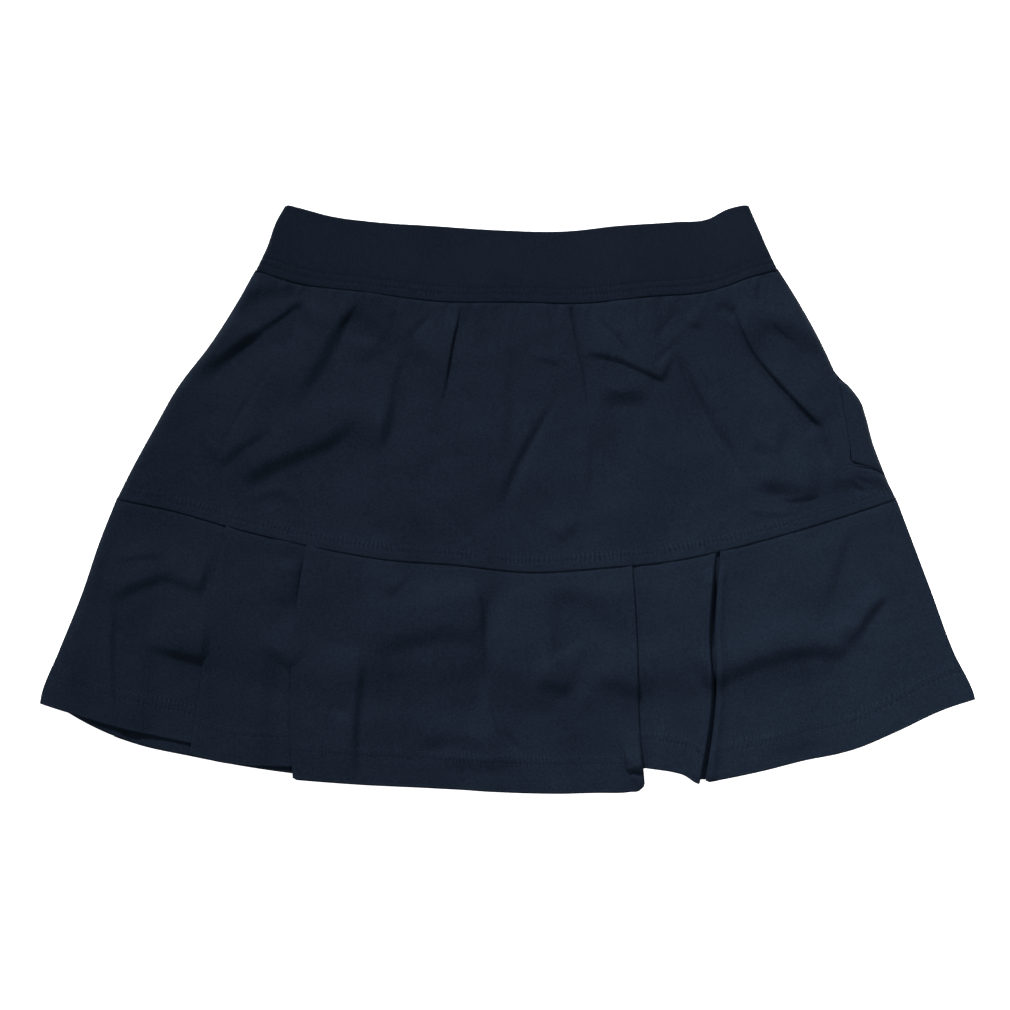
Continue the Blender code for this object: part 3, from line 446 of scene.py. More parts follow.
# ---- mesh density
# Rows or columns lie closer round a place: (middle, half width, times closer), in shares.
SKIRT_COLUMNS = 380
SKIRT_DENSE_COLUMNS = [(0.0, 0.012, 3), (0.1, 0.04, 1.4), (0.39, 0.02, 2.2),
                       (0.607, 0.02, 2.2), (0.935, 0.05, 2.2), (1.0, 0.012, 3)]
SKIRT_ROWS = 118
SKIRT_DENSE_ROWS = [(0.0, 0.02, 2.5), (1.0, 0.065, 2.4)]
BACK_DENSE_ROWS = [(0.0, 0.02, 2.5), (1.0, 0.04, 2.0)]
FLOUNCE_STEP = 2.2
FLOUNCE_ROWS = 92
FLOUNCE_LENGTH = 155.0
HEM_MIDDLE = 1 - sum(HEM_ROWS) / 2 / FLOUNCE_LENGTH
FLOUNCE_DENSE_ROWS = [(0.0, 0.03, 3.0), (HEM_MIDDLE, 0.035, 2.2), (1.0, 0.012, 2.0)]
GRADING_SAMPLES = 4001
BULK_SAMPLES = 1200
TURN_STEPS = 8
LAYER_COLUMNS = 8
RAMP_COLUMNS = 6
NEAR_SIDE = (0.0, 0.4, 1.2, 2.4, 4.0, SIDE_ROUND)
BACK_STEP = 6.0
BACK_ROWS = 60
BAND_COLUMNS = 300
BAND_DENSE_ENDS = [(0.0, 0.02, 2.0), (1.0, 0.02, 2.0)]
BAND_ROWS = 84
BAND_INNER_ROWS = 12
BAND_EDGE_STEPS = 8
BAND_TURN = 13
# The tube's grid starts at its top turn, which wears, and at the back beside its left turn.
BAND_START = (6, 20)
SHORTS_COLUMNS = 60
SEAT_ROWS = 40
LEG_ROWS = 30
BAG_COLUMNS = 48
BAG_ROWS = 60
WELD_DISTANCE = 0.01
FAR = 1e9


# ==== curves
def even_shares(count):
    """Even shares from 0 to 1."""
    return np.linspace(0, 1, count)


def smooth_value(table, at):
    """Value at a place on a smooth curve through (place, value) rows, held beyond its ends."""
    place, value = np.array(table, float).T
    slope = np.gradient(value, place)
    at = np.clip(at, place[0], place[-1])
    k = np.clip(np.searchsorted(place, at, side="right") - 1, 0, len(place) - 2)
    step = place[k + 1] - place[k]
    s = (at - place[k]) / step
    start = (1 + 2 * s) * (1 - s) ** 2 * value[k] + s * (1 - s) ** 2 * step * slope[k]
    end = s * s * (3 - 2 * s) * value[k + 1] + s * s * (s - 1) * step * slope[k + 1]
    return start + end


def value_at(table, place):
    """Smooth curve's value at one place, as a plain number."""
    return float(smooth_value(table, place))


def lengths(points):
    """Distance along a line of points, from its first one."""
    steps = np.linalg.norm(np.diff(np.asarray(points, float), axis=0), axis=-1)
    return np.concatenate([[0], np.cumsum(steps)])


def along(points, share):
    """(x, y) at a share of the length of a smooth curve through the points."""
    points = np.array(points, float)
    length = lengths(points)
    place = np.asarray(share, float) * length[-1]
    rows = [smooth_value(np.column_stack([length, points[:, axis]]), place) for axis in (0, 1)]
    return np.stack(rows, axis=-1)


def smoothstep(value):
    """0 to 1, easing in and out."""
    s = np.clip(value, 0.0, 1.0)
    return s * s * (3 - 2 * s)


def bell(distance, width):
    """1 at no distance, fading both ways."""
    return np.exp(-(distance / width) ** 2)


def rounded(distance, radius):
    """0 at a side fold to 1 a radius inside it, as a quarter round."""
    s = np.clip(np.asarray(distance, float) / radius, 0.0, 1.0)
    return np.sqrt(1 - (1 - s) ** 2)


def unit(vectors):
    """Vectors of length one."""
    return vectors / np.linalg.norm(vectors, axis=-1, keepdims=True)


def patch(top, bottom, left, right, u, v):
    """(x, y) inside four edge curves, u from left to right and v from top to bottom."""
    u, v = np.meshgrid(u, v)
    across = (1 - v)[..., None] * along(top, u) + v[..., None] * along(bottom, u)
    down = (1 - u)[..., None] * along(left, v) + u[..., None] * along(right, v)
    corners = sum(
        weight[..., None] * np.array(point)
        for weight, point in (
            ((1 - u) * (1 - v), top[0]), (u * (1 - v), top[-1]),
            ((1 - u) * v, bottom[0]), (u * v, bottom[-1]),
        )
    )
    return across + down - corners


def graded(count, dense):
    """Shares from 0 to 1, closer together round each (middle, half width, times closer)."""
    fine = even_shares(GRADING_SAMPLES)
    weight = np.ones(fine.shape)
    for middle, half, times in dense:
        weight += (times - 1) * np.exp(-((fine - middle) / half) ** 4)
    total = np.concatenate([[0], np.cumsum(weight[1:] + weight[:-1])])
    return np.interp(np.linspace(0, total[-1], count), total, fine)


# ==== relief of the cloth
def crease_profile(crease, across, width):
    """Height beside a crease's line, at a distance to the left of the way it runs."""
    if crease.kind == "ridge":
        return bell(across, width) * crease.height
    across = across * math.copysign(1, crease.height)
    rise = smoothstep(across / width + 0.5)
    high = HIGH_SHARE[crease.kind]
    step = high * rise - (1 - high) * (1 - rise)
    beyond = np.maximum(np.abs(across) - width / 2, 0)
    return abs(crease.height) * step * bell(beyond, FALL_REACH * crease.fall)


def crease_relief(x, y, crease):
    """Height that one crease adds at each point."""
    line = along(crease.line, even_shares(CREASE_SAMPLES))
    tangent = np.gradient(line, axis=0)
    segment = np.linalg.norm(tangent, axis=1)
    way = tangent / segment[:, None]
    margin = WIDTHS_OUT * crease.width * max(crease.spread, 1) + FALLS_OUT * crease.fall
    low, high = line.min(axis=0) - margin, line.max(axis=0) + margin
    near = (x > low[0]) & (x < high[0]) & (y > low[1]) & (y < high[1])
    from_line = np.stack([x[near], y[near]], axis=-1)[:, None] - line
    nearest = (from_line ** 2).sum(axis=-1).argmin(axis=1)
    offset = from_line[np.arange(len(nearest)), nearest]
    way = way[nearest]
    across = way[:, 0] * offset[:, 1] - way[:, 1] * offset[:, 0]
    forward = (way * offset).sum(axis=1) / segment[nearest]
    share = (nearest + forward) / (CREASE_SAMPLES - 1)
    fade = smoothstep(share / crease.start) * smoothstep((1 - share) / crease.end)
    width = crease.width * (1 + (crease.spread - 1) * np.clip(share, 0, 1))
    relief = np.zeros(x.shape)
    relief[near] = crease_profile(crease, across, width) * fade
    return relief


def creases(x, y, table, panel=None):
    """Height of all the creases of a table together, each kept to its own panel if it has one."""
    total = np.zeros(x.shape)
    for crease in table:
        relief = crease_relief(x, y, crease)
        total += relief if crease.panel is None else relief * (panel == crease.panel)
    return total


def kept_above(height, ground):
    """Height held over a ground that it would otherwise sink through, bending softly."""
    return ground + GROUND_EASE * np.logaddexp(0, (height - ground) / GROUND_EASE)


def eased_in(relief, distance):
    """Relief that dies away at a seam, what rises more slowly than what sinks."""
    rises = np.maximum(relief, 0) * smoothstep(distance / RISE_CALM)
    return rises + np.minimum(relief, 0) * smoothstep(distance / SINK_CALM)


def slow_waves(x, y):
    """Uneven waves over a piece."""
    draws = np.random.default_rng(WAVE_SEED)
    total = np.zeros(np.shape(x))
    for _ in range(WAVE_COUNT):
        length = WAVE_SHORTEST * (WAVE_LONGEST / WAVE_SHORTEST) ** draws.random()
        angle, phase = draws.random(2) * 2 * math.pi
        place = (x * math.cos(angle) + y * math.sin(angle)) / length
        total = total + WAVE_SLOPE * length / (2 * math.pi) * np.sin(2 * math.pi * place + phase)
    return total


def puckers(x, distance, seed, height, reach):
    """Short ripples that run out from a seam and die away from it."""
    draws = np.random.default_rng(seed)
    total = np.zeros(np.shape(x))
    for _ in range(PUCKER_COUNT):
        length = PUCKER_SHORTEST * (PUCKER_LONGEST / PUCKER_SHORTEST) ** draws.random()
        phase, lean, swell = draws.random(3)
        place = (x + (lean - 0.5) * distance) / length + phase
        uneven = 1 + np.sin(2 * math.pi * (x / (PUCKER_SWELL * length) + swell))
        total = total + length / PUCKER_SHORTEST * uneven * np.sin(2 * math.pi * place)
    near = np.exp(-np.maximum(distance, 0) / reach) * smoothstep(distance / PUCKER_EASE)
    return height / math.sqrt(PUCKER_COUNT) * total * near


def near_rows(distance, rows, width):
    """1 on rows of stitches, fading over a width beside them."""
    return sum(bell(distance - row, width) for row in rows)


def sewn_relief(distance, rows):
    """How far the cloth sinks along rows of stitches."""
    return ROW_SINK * near_rows(distance, rows, ROW_SINK_WIDTH)


def doubled_cloth(distance, rows, rise):
    """Height of an edge turned back to just past its rows of stitches."""
    return rise * smoothstep((rows[1] + HEM_EASE - distance) / HEM_EASE)


def inside(x, y, corners, shoulder):
    """1 on a four-sided ground, easing to 0 a shoulder outside it."""
    out = np.full(np.shape(x), -FAR)
    for (x1, y1), (x2, y2) in zip(corners, corners[1:] + corners[:1]):
        length = math.hypot(x2 - x1, y2 - y1)
        out = np.maximum(out, ((x - x1) * (y1 - y2) + (y - y1) * (x2 - x1)) / -length)
    return smoothstep(1 - out / shoulder)


def leg_ground(x, y):
    """1 where a leg of the shorts lies below the flounce."""
    return np.maximum(*(inside(x, y, corners, LEG_SHOULDER) for corners in LEG_GROUNDS))


def pleat_edge(pleat, t):
    """x of a pleat's visible edge at a share of the flounce's length."""
    table = [(0, pleat.seam), (1 / 3, pleat.third), (2 / 3, pleat.two_thirds), (1, pleat.hem)]
    return smooth_value(table, t)


def pleat_sides(pleat, t):
    """x of the left and right folds of a pleat at a share of the flounce's length."""
    edge = pleat_edge(pleat, t)
    depth = pleat.depth_seam + (pleat.depth_hem - pleat.depth_seam) * t
    return np.minimum(edge, edge + depth), np.maximum(edge, edge + depth)


def back_lift(x, t):
    """How far the pleats of the back flounce lift the front flounce."""
    spans = []
    for pleat in BACK_PLEATS:
        low, high = pleat_sides(pleat, t)
        beyond = np.maximum(low - x, x - high) - BACK_PLEAT_MARGIN
        spans.append(smoothstep(1 - beyond / BACK_PLEAT_SHOULDER))
    return BACK_PLEAT_LIFT * np.max(spans, axis=0)


def bag_lift(x, y):
    """1 where the pocket bag lies under the front skirt, easing to 0 round it."""
    inwards = smooth_value(BAG_FOLD, y) - x - BAG_MARGIN
    upwards = y - BAG_TOP - BAG_MARGIN
    downwards = BAG_FLOOR - y
    return (smoothstep(1 - upwards / BAG_TOP_SHOULDER)
            * smoothstep(1 - inwards / BAG_SHOULDER) * smoothstep(1 - downwards / BAG_SHOULDER))


# ==== rows of pleated cloth
def turn_back(edge, side, level_start, level_end):
    """Columns round a fold whose outside is at an x; side is 1 where it faces right."""
    radius = LAYER / 2
    centre = edge - side * (radius + CLOTH / 2)
    middle = (level_start + level_end) / 2
    rise = (level_end - level_start) / 2
    angles = np.linspace(0, math.pi, TURN_STEPS + 1)[1:]
    return [(centre + side * radius * math.sin(a), middle - rise * math.cos(a), HIDDEN)
            for a in angles]


def run_on(path, panel, stops):
    """Carry a row's path on to each stop in turn, (x, level, columns), easing between levels."""
    for stop, level, columns in stops:
        start, start_level, _ = path[-1]
        for s in even_shares(columns + 1)[1:]:
            eased = start_level + (level - start_level) * smoothstep(s)
            path.append((start + (stop - start) * s, eased, panel))


def add_pleat(path, pleat, t, panel, columns, step):
    """Carry a row's path over a panel to its pleat, back under it and out on the next panel."""
    left, right = (float(value) for value in pleat_sides(pleat, t))
    inset = (LAYER + CLOTH) / 2
    turn_left, turn_right = left + inset, right - inset
    few = LAYER_COLUMNS
    slope = max(RAMP_COLUMNS, round(pleat.ramp / step))
    if pleat.climbs:
        levels = (0.0, 1.0, 2.0)
        before = [(left, 0.0, columns), (turn_right, 0.0, few)]
        after = [(turn_right, 2.0, 3 * few), (right + RAMP_CLEAR, 2.0, 2),
                 (right + RAMP_CLEAR + pleat.ramp, 0.0, slope)]
    else:
        levels = (2.0, 1.0, 0.0)
        before = [(left - RAMP_CLEAR - pleat.ramp, 0.0, columns), (left - RAMP_CLEAR, 2.0, slope),
                  (turn_right, 2.0, 3 * few)]
        after = [(turn_right, 0.0, few)]
    run_on(path, panel, before)
    path += turn_back(right, 1, levels[0], levels[1])
    run_on(path, HIDDEN, [(turn_left, levels[1], few)])
    path += turn_back(left, -1, levels[1], levels[2])
    run_on(path, panel + 1, after)


def cloth_path(pleats, t, left, right, columns, step):
    """One row of the flounce from left to right: (x, level, panel) of each column."""
    path = [(left + distance, 0.0, 0) for distance in NEAR_SIDE]
    for panel, (pleat, count) in enumerate(zip(pleats, columns)):
        add_pleat(path, pleat, t, panel, count, step)
    last = len(pleats)
    run_on(path, last, [(right - SIDE_ROUND, 0.0, columns[-1])])
    path += [(right - distance, 0.0, last) for distance in NEAR_SIDE[-2::-1]]
    return path


def plain_columns(pleats, left, right, step):
    """Number of columns in each plain stretch between pleats, from the widths at the hem."""
    columns = []
    here = left
    for pleat in pleats:
        fold_left, fold_right = (float(value) for value in pleat_sides(pleat, 1.0))
        before, after = (0.0, pleat.ramp) if pleat.climbs else (pleat.ramp, 0.0)
        columns.append(max(1, round((fold_left - before - here) / step)))
        here = fold_right + after
    columns.append(max(1, round((right - here) / step)))
    return columns


def seam_bulk(x):
    """How many layers of pleats thick the flounce's seam is, smoothed along it."""
    place = np.linspace(FLOUNCE_SEAM[0][0], FLOUNCE_SEAM[-1][0], BULK_SAMPLES)
    columns = [1] * (len(FRONT_PLEATS) + 1)
    path = cloth_path(FRONT_PLEATS, 0.0, place[0], place[-1], columns, FLOUNCE_STEP)
    path_x, level, panel = np.array(path).T
    runs = [panel == number for number in range(len(columns))]
    top = np.max([np.interp(place, path_x[run], level[run], left=0, right=0) for run in runs],
                 axis=0)
    step = place[1] - place[0]
    offsets = np.arange(-3 * BULK_SPREAD, 3 * BULK_SPREAD, step)
    weights = bell(offsets, BULK_SPREAD)
    return np.interp(x, place, np.convolve(top, weights / weights.sum(), mode="same"))


def panel_edges(pleats, t):
    """x of the visible edges between the panels, far out at both ends."""
    return np.array([-FAR] + [float(pleat_edge(pleat, t)) for pleat in pleats] + [FAR])


def in_view(x, panel, pleats, t):
    """Whether each column of a row lies on top, between its panel's two visible edges."""
    edges = panel_edges(pleats, t)
    own = np.clip(panel.astype(int), 0, None)
    from_left, from_right = x - edges[own], edges[own + 1] - x
    return (panel != HIDDEN) & (np.minimum(from_left, from_right) >= -EDGE_TOLERANCE)


def hem_heights(path, pleats, hems):
    """y of the hem at each column: a panel's own hem where it shows; carried on out of sight
    elsewhere, always inside the hem of the panel above."""
    x, _, panel = np.array(path).T
    above = np.clip(np.searchsorted(panel_edges(pleats, 1.0), x) - 1, 0, len(hems) - 1)
    own = np.clip(panel.astype(int), 0, None)
    cover, own_hem = (np.array([value_at(hems[k], place) for k, place in zip(numbers, x)])
                      for numbers in (above, own))
    shows = in_view(x, panel, pleats, 1.0)
    length = lengths(x[:, None])
    carried = np.interp(length, length[shows], own_hem[shows])
    return np.where(shows, own_hem, np.maximum(carried, cover + HIDDEN_HEM_INSET))


def flounce_grid(pleats, hems, sides, step, rows):
    """A pleated flounce: x, y, layer, panel and share of the length of each grid point."""
    left, right = (float(along(side, 1.0)[0]) for side in sides)
    columns = plain_columns(pleats, left, right, step)
    shares = graded(rows, FLOUNCE_DENSE_ROWS)
    lines = []
    for t in shares:
        left, right = (float(along(side, t)[0]) for side in sides)
        lines.append(cloth_path(pleats, t, left, right, columns, step))
    hem = hem_heights(lines[-1], pleats, hems)
    x, level, panel = np.moveaxis(np.array(lines), -1, 0)
    top = smooth_value(FLOUNCE_SEAM, x[:1]) + SEAM_LAP
    y = top + (hem - top) * shares[:, None]
    return x, y, level, panel, shares[:, None]


# ==== meshes
def grid_faces(rows, columns, first, wraps, closes):
    """Faces of a grid; it wraps where its last column joins the first, closes where its last
    row does."""
    faces = []
    for row in range(rows if closes else rows - 1):
        here = first + row * columns
        below = first + (row + 1) % rows * columns
        for column in range(columns if wraps else columns - 1):
            beside = (column + 1) % columns
            faces.append((here + column, below + column, below + beside, here + beside))
    return faces


def cloth_place(grid):
    """Distance across and down the cloth at each grid point, in metres, and its edge wear."""
    across = lengths(grid[len(grid) // 2])
    down = lengths(grid[:, grid.shape[1] // 2])
    u, v = np.meshgrid(across, down)
    from_edge = np.minimum(v, down[-1] - v)
    return np.stack([u, v], axis=-1) * MM, bell(from_edge, EDGE_WEAR_WIDTH)



def add_object(name, data):
    """New object in the scene."""
    thing = bpy.data.objects.new(name, data)
    bpy.context.scene.collection.objects.link(thing)
    return thing


def add_mesh(name, vertices, faces, material):
    """New smooth mesh object from points in millimetres."""
    mesh = bpy.data.meshes.new(name)
    mesh.from_pydata((vertices * MM).tolist(), [], faces)
    mesh.materials.append(material)
    mesh.shade_smooth()
    return add_object(name, mesh)


def piece_from_grids(name, grids, material, wall=0.0, sewn=None, wraps=False, closes=False):
    """Object from grids of points in millimetres, with a wall where one is given; sewn has a
    mask of the rows of stitches for each grid."""
    vertices = np.concatenate([grid.reshape(-1, 3) for grid in grids])
    faces = []
    first = 0
    for grid in grids:
        faces += grid_faces(*grid.shape[:2], first, wraps, closes)
        first += grid.shape[0] * grid.shape[1]
    piece = add_mesh(name, vertices, faces, material)
    places, wear = zip(*(cloth_place(grid) for grid in grids))
    uv = piece.data.uv_layers.new(name="cloth")
    flat_places = np.concatenate([place.reshape(-1, 2) for place in places])
    uv.data.foreach_set("uv", flat_places[np.array(faces).ravel()].ravel())
    masks = {"wear": wear, "sewn": sewn or [np.zeros(grid.shape[:2]) for grid in grids]}
    for mask, values in masks.items():
        attribute = piece.data.attributes.new(mask, "FLOAT", "POINT")
        attribute.data.foreach_set("value", np.concatenate([value.ravel() for value in values]))
    if len(grids) > 1:
        weld = piece.modifiers.new("weld", "WELD")
        weld.merge_threshold = WELD_DISTANCE * MM
    if wall:
        solid = piece.modifiers.new("wall", "SOLIDIFY")
        solid.thickness = wall * MM
        solid.offset = 0.0
    return piece


def dress(piece, node):
    """Hang a piece on the root body and hide the solid that it stands for."""
    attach(piece, "root")
    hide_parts(node)


# ==== the upper skirt
def skirt_height(x, y):
    """Middle height of the front skirt, away from its side folds."""
    above_seam = y - smooth_value(FLOUNCE_SEAM, x)
    below_band = smooth_value(WAIST_SEAM, x) - y
    bulk = SEAM_PRESS * LAYER * seam_bulk(x) * smoothstep(1 - above_seam / BULK_LENGTH)
    lift = POCKET_LIFT * bag_lift(x, y)
    ripples = puckers(x, below_band, *WAIST_PUCKER) + puckers(x, above_seam, *SEAM_PUCKER)
    soft = eased_in(creases(x, y, SKIRT_CREASES), np.minimum(below_band, above_seam + SINK_CALM))
    soft = soft + slow_waves(x, y) + ripples
    doubled = doubled_cloth(above_seam, SEAM_ROWS, SEAM_RAISE)
    puff = PUFF * smoothstep(above_seam / PUFF_REACH)
    height = kept_above(FRONT_LEVEL + puff + lift + soft, SHORTS_TOP + lift)
    return height + bulk + doubled - sewn_relief(above_seam, SEAM_ROWS)


def panel_plan(right, shares, rows):
    """Plan of an upper skirt panel, its top edge tucked in under the band."""
    top = [(x, y + BAND_LAP) for x, y in WAIST_SEAM]
    sides = ([(side[0][0], side[0][1] + BAND_LAP)] + side[1:] for side in (SKIRT_LEFT, right))
    return patch(top, FLOUNCE_SEAM, *sides, shares, rows)


def skirt_front_grid():
    """Points of the front panel: over the shorts and the pocket bag, down at its side folds."""
    shares = graded(SKIRT_COLUMNS, SKIRT_DENSE_COLUMNS)
    rows = graded(SKIRT_ROWS, SKIRT_DENSE_ROWS)
    plan = panel_plan(MOUTH_SIDE, shares, rows)
    x, y = plan[..., 0], plan[..., 1]
    side = SKIRT_SOLID + SIDE_GAP + SKIRT_SOLID / 2
    below_top = smoothstep((MOUTH_TOP + MOUTH_EASE - y) / (2 * MOUTH_EASE))
    above_foot = smoothstep((y - MOUTH_FOOT + MOUTH_EASE) / (2 * MOUTH_EASE))
    left_round = rounded(x - x[:, :1], SIDE_ROUND)
    right_round = np.maximum(rounded(x[:, -1:] - x, SIDE_ROUND), below_top * above_foot)
    height = side + (skirt_height(x, y) - side) * left_round * right_round
    length = lengths(plan[:, SKIRT_COLUMNS // 2])[-1]
    height -= BAND_TUCK * bell(rows[:, None] * length, BAND_TUCK_WIDTH)
    height -= EDGE_ROLL * bell((1 - rows[:, None]) * length, EDGE_ROLL_WIDTH)
    height += (SKIRT_SOLID - CLOTH) / 2
    return np.dstack([plan, height])


def skirt_back_grid():
    """Points of the back panel, flat on the surface."""
    shares = graded(round((FLOUNCE_SEAM[-1][0] - FLOUNCE_SEAM[0][0]) / BACK_STEP), [])
    plan = panel_plan(SKIRT_RIGHT, shares, graded(BACK_ROWS, BACK_DENSE_ROWS))
    return np.dstack([plan, np.full(plan.shape[:2], SKIRT_SOLID / 2)])


def make_skirt(side, grid, face, material):
    """Upper panel of one side; gives the rows of stitches above the flounce on its face."""
    above_seam = grid[..., 1] - smooth_value(FLOUNCE_SEAM, grid[..., 0])
    sewn = [near_rows(above_seam, SEAM_ROWS, SEWN_WIDTH)]
    piece = piece_from_grids(f"upper_skirt_{side}", [grid], material, CLOTH, sewn)
    dress(piece, f"skirt_{side}")
    return [face_line(grid, distance, face) for distance in SEAM_ROWS]


# ==== the flounce
def flounce_height(x, y, t, panel):
    """Middle height of the front flounce's lowest layer, away from its side folds."""
    legs = leg_ground(x, y)
    leg = FLOUNCE_LEVEL + (FRONT_LEVEL + FLOUNCE_PUFF - FLOUNCE_LEVEL) * legs
    low = np.maximum(leg, FLOUNCE_LEVEL + back_lift(x, t))
    seam = smoothstep(1 - t / SEAM_FADE)
    below_seam = y[:1] - y
    soft = eased_in(creases(x, y, FLOUNCE_CREASES, panel), below_seam) + slow_waves(x, y)
    ripples = puckers(x, below_seam, *FLOUNCE_PUCKER)
    ground = FLOUNCE_GROUND + (SHORTS_TOP - FLOUNCE_GROUND) * legs
    return kept_above(low + (FRONT_LEVEL - low) * seam + soft + ripples, ground)


def hem_relief(from_hem):
    """The doubled cloth of a hem and the rows that hold it."""
    return doubled_cloth(from_hem, HEM_ROWS, HEM_RAISE) - sewn_relief(from_hem, HEM_ROWS)


def runs_of(flags):
    """(start, end) of each unbroken run of true flags."""
    changes = np.flatnonzero(np.diff(np.concatenate([[False], flags, [False]])))
    return list(zip(changes[::2], changes[1::2]))


def flounce_front_grid():
    """Points of the front flounce, and whether each column shows at the hem."""
    x, y, level, panel, t = flounce_grid(FRONT_PLEATS, FRONT_HEMS,
                                         (FLOUNCE_LEFT, FLOUNCE_RIGHT), FLOUNCE_STEP,
                                         FLOUNCE_ROWS)
    side = FLOUNCE_SOLID + SIDE_GAP + FLOUNCE_SOLID / 2
    side_round = rounded(x - x[:, :1], SIDE_ROUND) * rounded(x[:, -1:] - x, SIDE_ROUND)
    layer = LAYER * (SEAM_PRESS + (1 - SEAM_PRESS) * smoothstep(t / PRESS_FADE))
    height = side + (flounce_height(x, y, t, panel) - side) * side_round + layer * level
    height -= SEAM_SINK * bell(y[:1] - y, SEAM_SINK_WIDTH)
    height += (FLOUNCE_SOLID - CLOTH) / 2 + hem_relief(y - y[-1:])
    return np.dstack([x, y, height]), in_view(x[-1], panel[-1], FRONT_PLEATS, 1.0)


def back_side(front_side, corner):
    """Side edge of the back flounce, drawn in from the front's more and more to its corner."""
    upper = front_side[:BACK_SIDE_POINTS]
    drawn_in = [(x - math.copysign(BACK_INSET * row / len(upper), x), y)
                for row, (x, y) in enumerate(upper)]
    return drawn_in + [corner]


def flounce_back_grid():
    """Points of the back flounce, its outer face flat on the surface and its pleats folded
    inwards, and whether each column is on that face at the hem."""
    sides = (back_side(FLOUNCE_LEFT, BACK_HEM[0]), back_side(FLOUNCE_RIGHT, BACK_HEM[-1]))
    hems = [BACK_HEM] * (len(BACK_PLEATS) + 1)
    x, y, level, panel, _ = flounce_grid(BACK_PLEATS, hems, sides, BACK_STEP, BACK_ROWS)
    grid = np.dstack([x, y, FLOUNCE_SOLID / 2 + LAYER * level])
    return grid, (level[-1] < 0.5) & (panel[-1] != HIDDEN)


def make_flounce(side, grid, seen, face, sheet, material, rests_on):
    """Flounce of one side; gives the rows of its hem's stitches where it is seen."""
    from_hem = grid[..., 1] - grid[-1:, :, 1]
    sewn = [near_rows(from_hem, HEM_ROWS, SEWN_WIDTH)]
    piece = piece_from_grids(f"flounce_{side}_cloth", [grid], material, CLOTH, sewn)
    dress(piece, f"flounce_{side}")
    rows = [face_line(grid, distance, face) for distance in HEM_ROWS]
    return [row[start:end] for row in rows for start, end in runs_of(seen)]


# ==== the waistband
def band_ring():
    """(v, offset) round the band's cross-section: outer face, lower turn, inner face, upper."""
    half = BAND_CLOTH / 2
    end = half / BAND_DEPTH
    outer = [(v, half) for v in np.linspace(end, 1 - end, BAND_ROWS)]
    inner = [(v, -half) for v in np.linspace(1 - end, end, BAND_INNER_ROWS)]
    angles = np.linspace(0, math.pi, BAND_EDGE_STEPS + 1)[1:-1]
    lower = [(1 - end + end * math.sin(a), half * math.cos(a)) for a in angles]
    upper = [(end - end * math.sin(a), -half * math.cos(a)) for a in angles]
    return np.array(outer + lower + inner + upper)


def band_loop(columns):
    """(u, side shift, height, normal x, normal z) round the band: front, right, back, left;
    its walls are drawn in to meet its turned sides."""
    centre = BAND_HEIGHT / 2
    turn = centre - BAND_CLOTH / 2
    inset = centre / (BAND_TOP[-1][0] - BAND_TOP[0][0])
    angles = np.linspace(0, math.pi, BAND_TURN)
    even = inset + (1 - 2 * inset) * graded(columns + 1, BAND_DENSE_ENDS)[1:-1]
    loop = []
    for face, across, end in ((1.0, even, 1 - inset), (-1.0, even[::-1], inset)):
        loop += [(u, 0.0, centre + face * turn, 0.0, face) for u in across]
        for angle in angles:
            normal_x, normal_z = face * math.sin(angle), face * math.cos(angle)
            loop.append((end, turn * normal_x, centre + turn * normal_z, normal_x, normal_z))
    return np.array(loop).T


def corner_drop(u):
    """How far the band's top edge comes down to round its two corners."""
    width = BAND_TOP[-1][0] - BAND_TOP[0][0]
    corners = ((u * width, CORNER_LEFT), ((1 - u) * width, CORNER_RIGHT))
    return sum(radius * (1 - rounded(distance, radius)) for distance, radius in corners)


def make_waistband(material):
    """One tube of folded cloth over elastic, pressed flat."""
    ring = band_ring()
    u, shift, height, normal_x, normal_z = band_loop(BAND_COLUMNS)
    v = np.clip(ring[:, :1], 0, 1)
    plan = patch(BAND_TOP, WAIST_SEAM, BAND_LEFT, BAND_RIGHT, u, v[:, 0])
    x = plan[..., 0] + shift
    y = plan[..., 1] - corner_drop(u) * (1 - v) ** 2
    offset = np.broadcast_to(ring[:, 1:], x.shape).copy()
    from_seam = (1 - v) * BAND_DEPTH
    crown = BAND_CROWN * np.sin(math.pi * v) + BAND_WAVE * slow_waves(x, y)
    crown = crown + BAND_RISE + PUFF * smoothstep(v)
    crown = crown + puckers(x, from_seam, *BAND_PUCKER)
    offset += np.where((offset > 0) & (normal_z > 0), crown * normal_z, 0)
    offset -= np.where(offset > 0, sewn_relief(from_seam, WAIST_ROWS), 0)
    grid = np.dstack([x + normal_x * offset, y, height + normal_z * offset])
    mask = near_rows(from_seam, WAIST_ROWS, SEWN_WIDTH) * (ring[:, 1:] > 0) * np.ones(x.shape)
    turned, sewn = (np.roll(values, BAND_START, axis=(0, 1))[::-1] for values in (grid, mask))
    piece = piece_from_grids("waistband_tube", [turned], material, sewn=[sewn], wraps=True,
                             closes=True)
    dress(piece, "waistband")
    outer = grid[:BAND_ROWS]
    front = outer[:, :BAND_COLUMNS - 1]
    back = outer[:, BAND_COLUMNS - 1 + BAND_TURN:-BAND_TURN]
    nose = BAND_CLOTH / 2
    return ([face_line(front, distance - nose, 1, 0.0) for distance in WAIST_ROWS],
            [face_line(back, distance - nose, -1, 0.0) for distance in WAIST_ROWS])


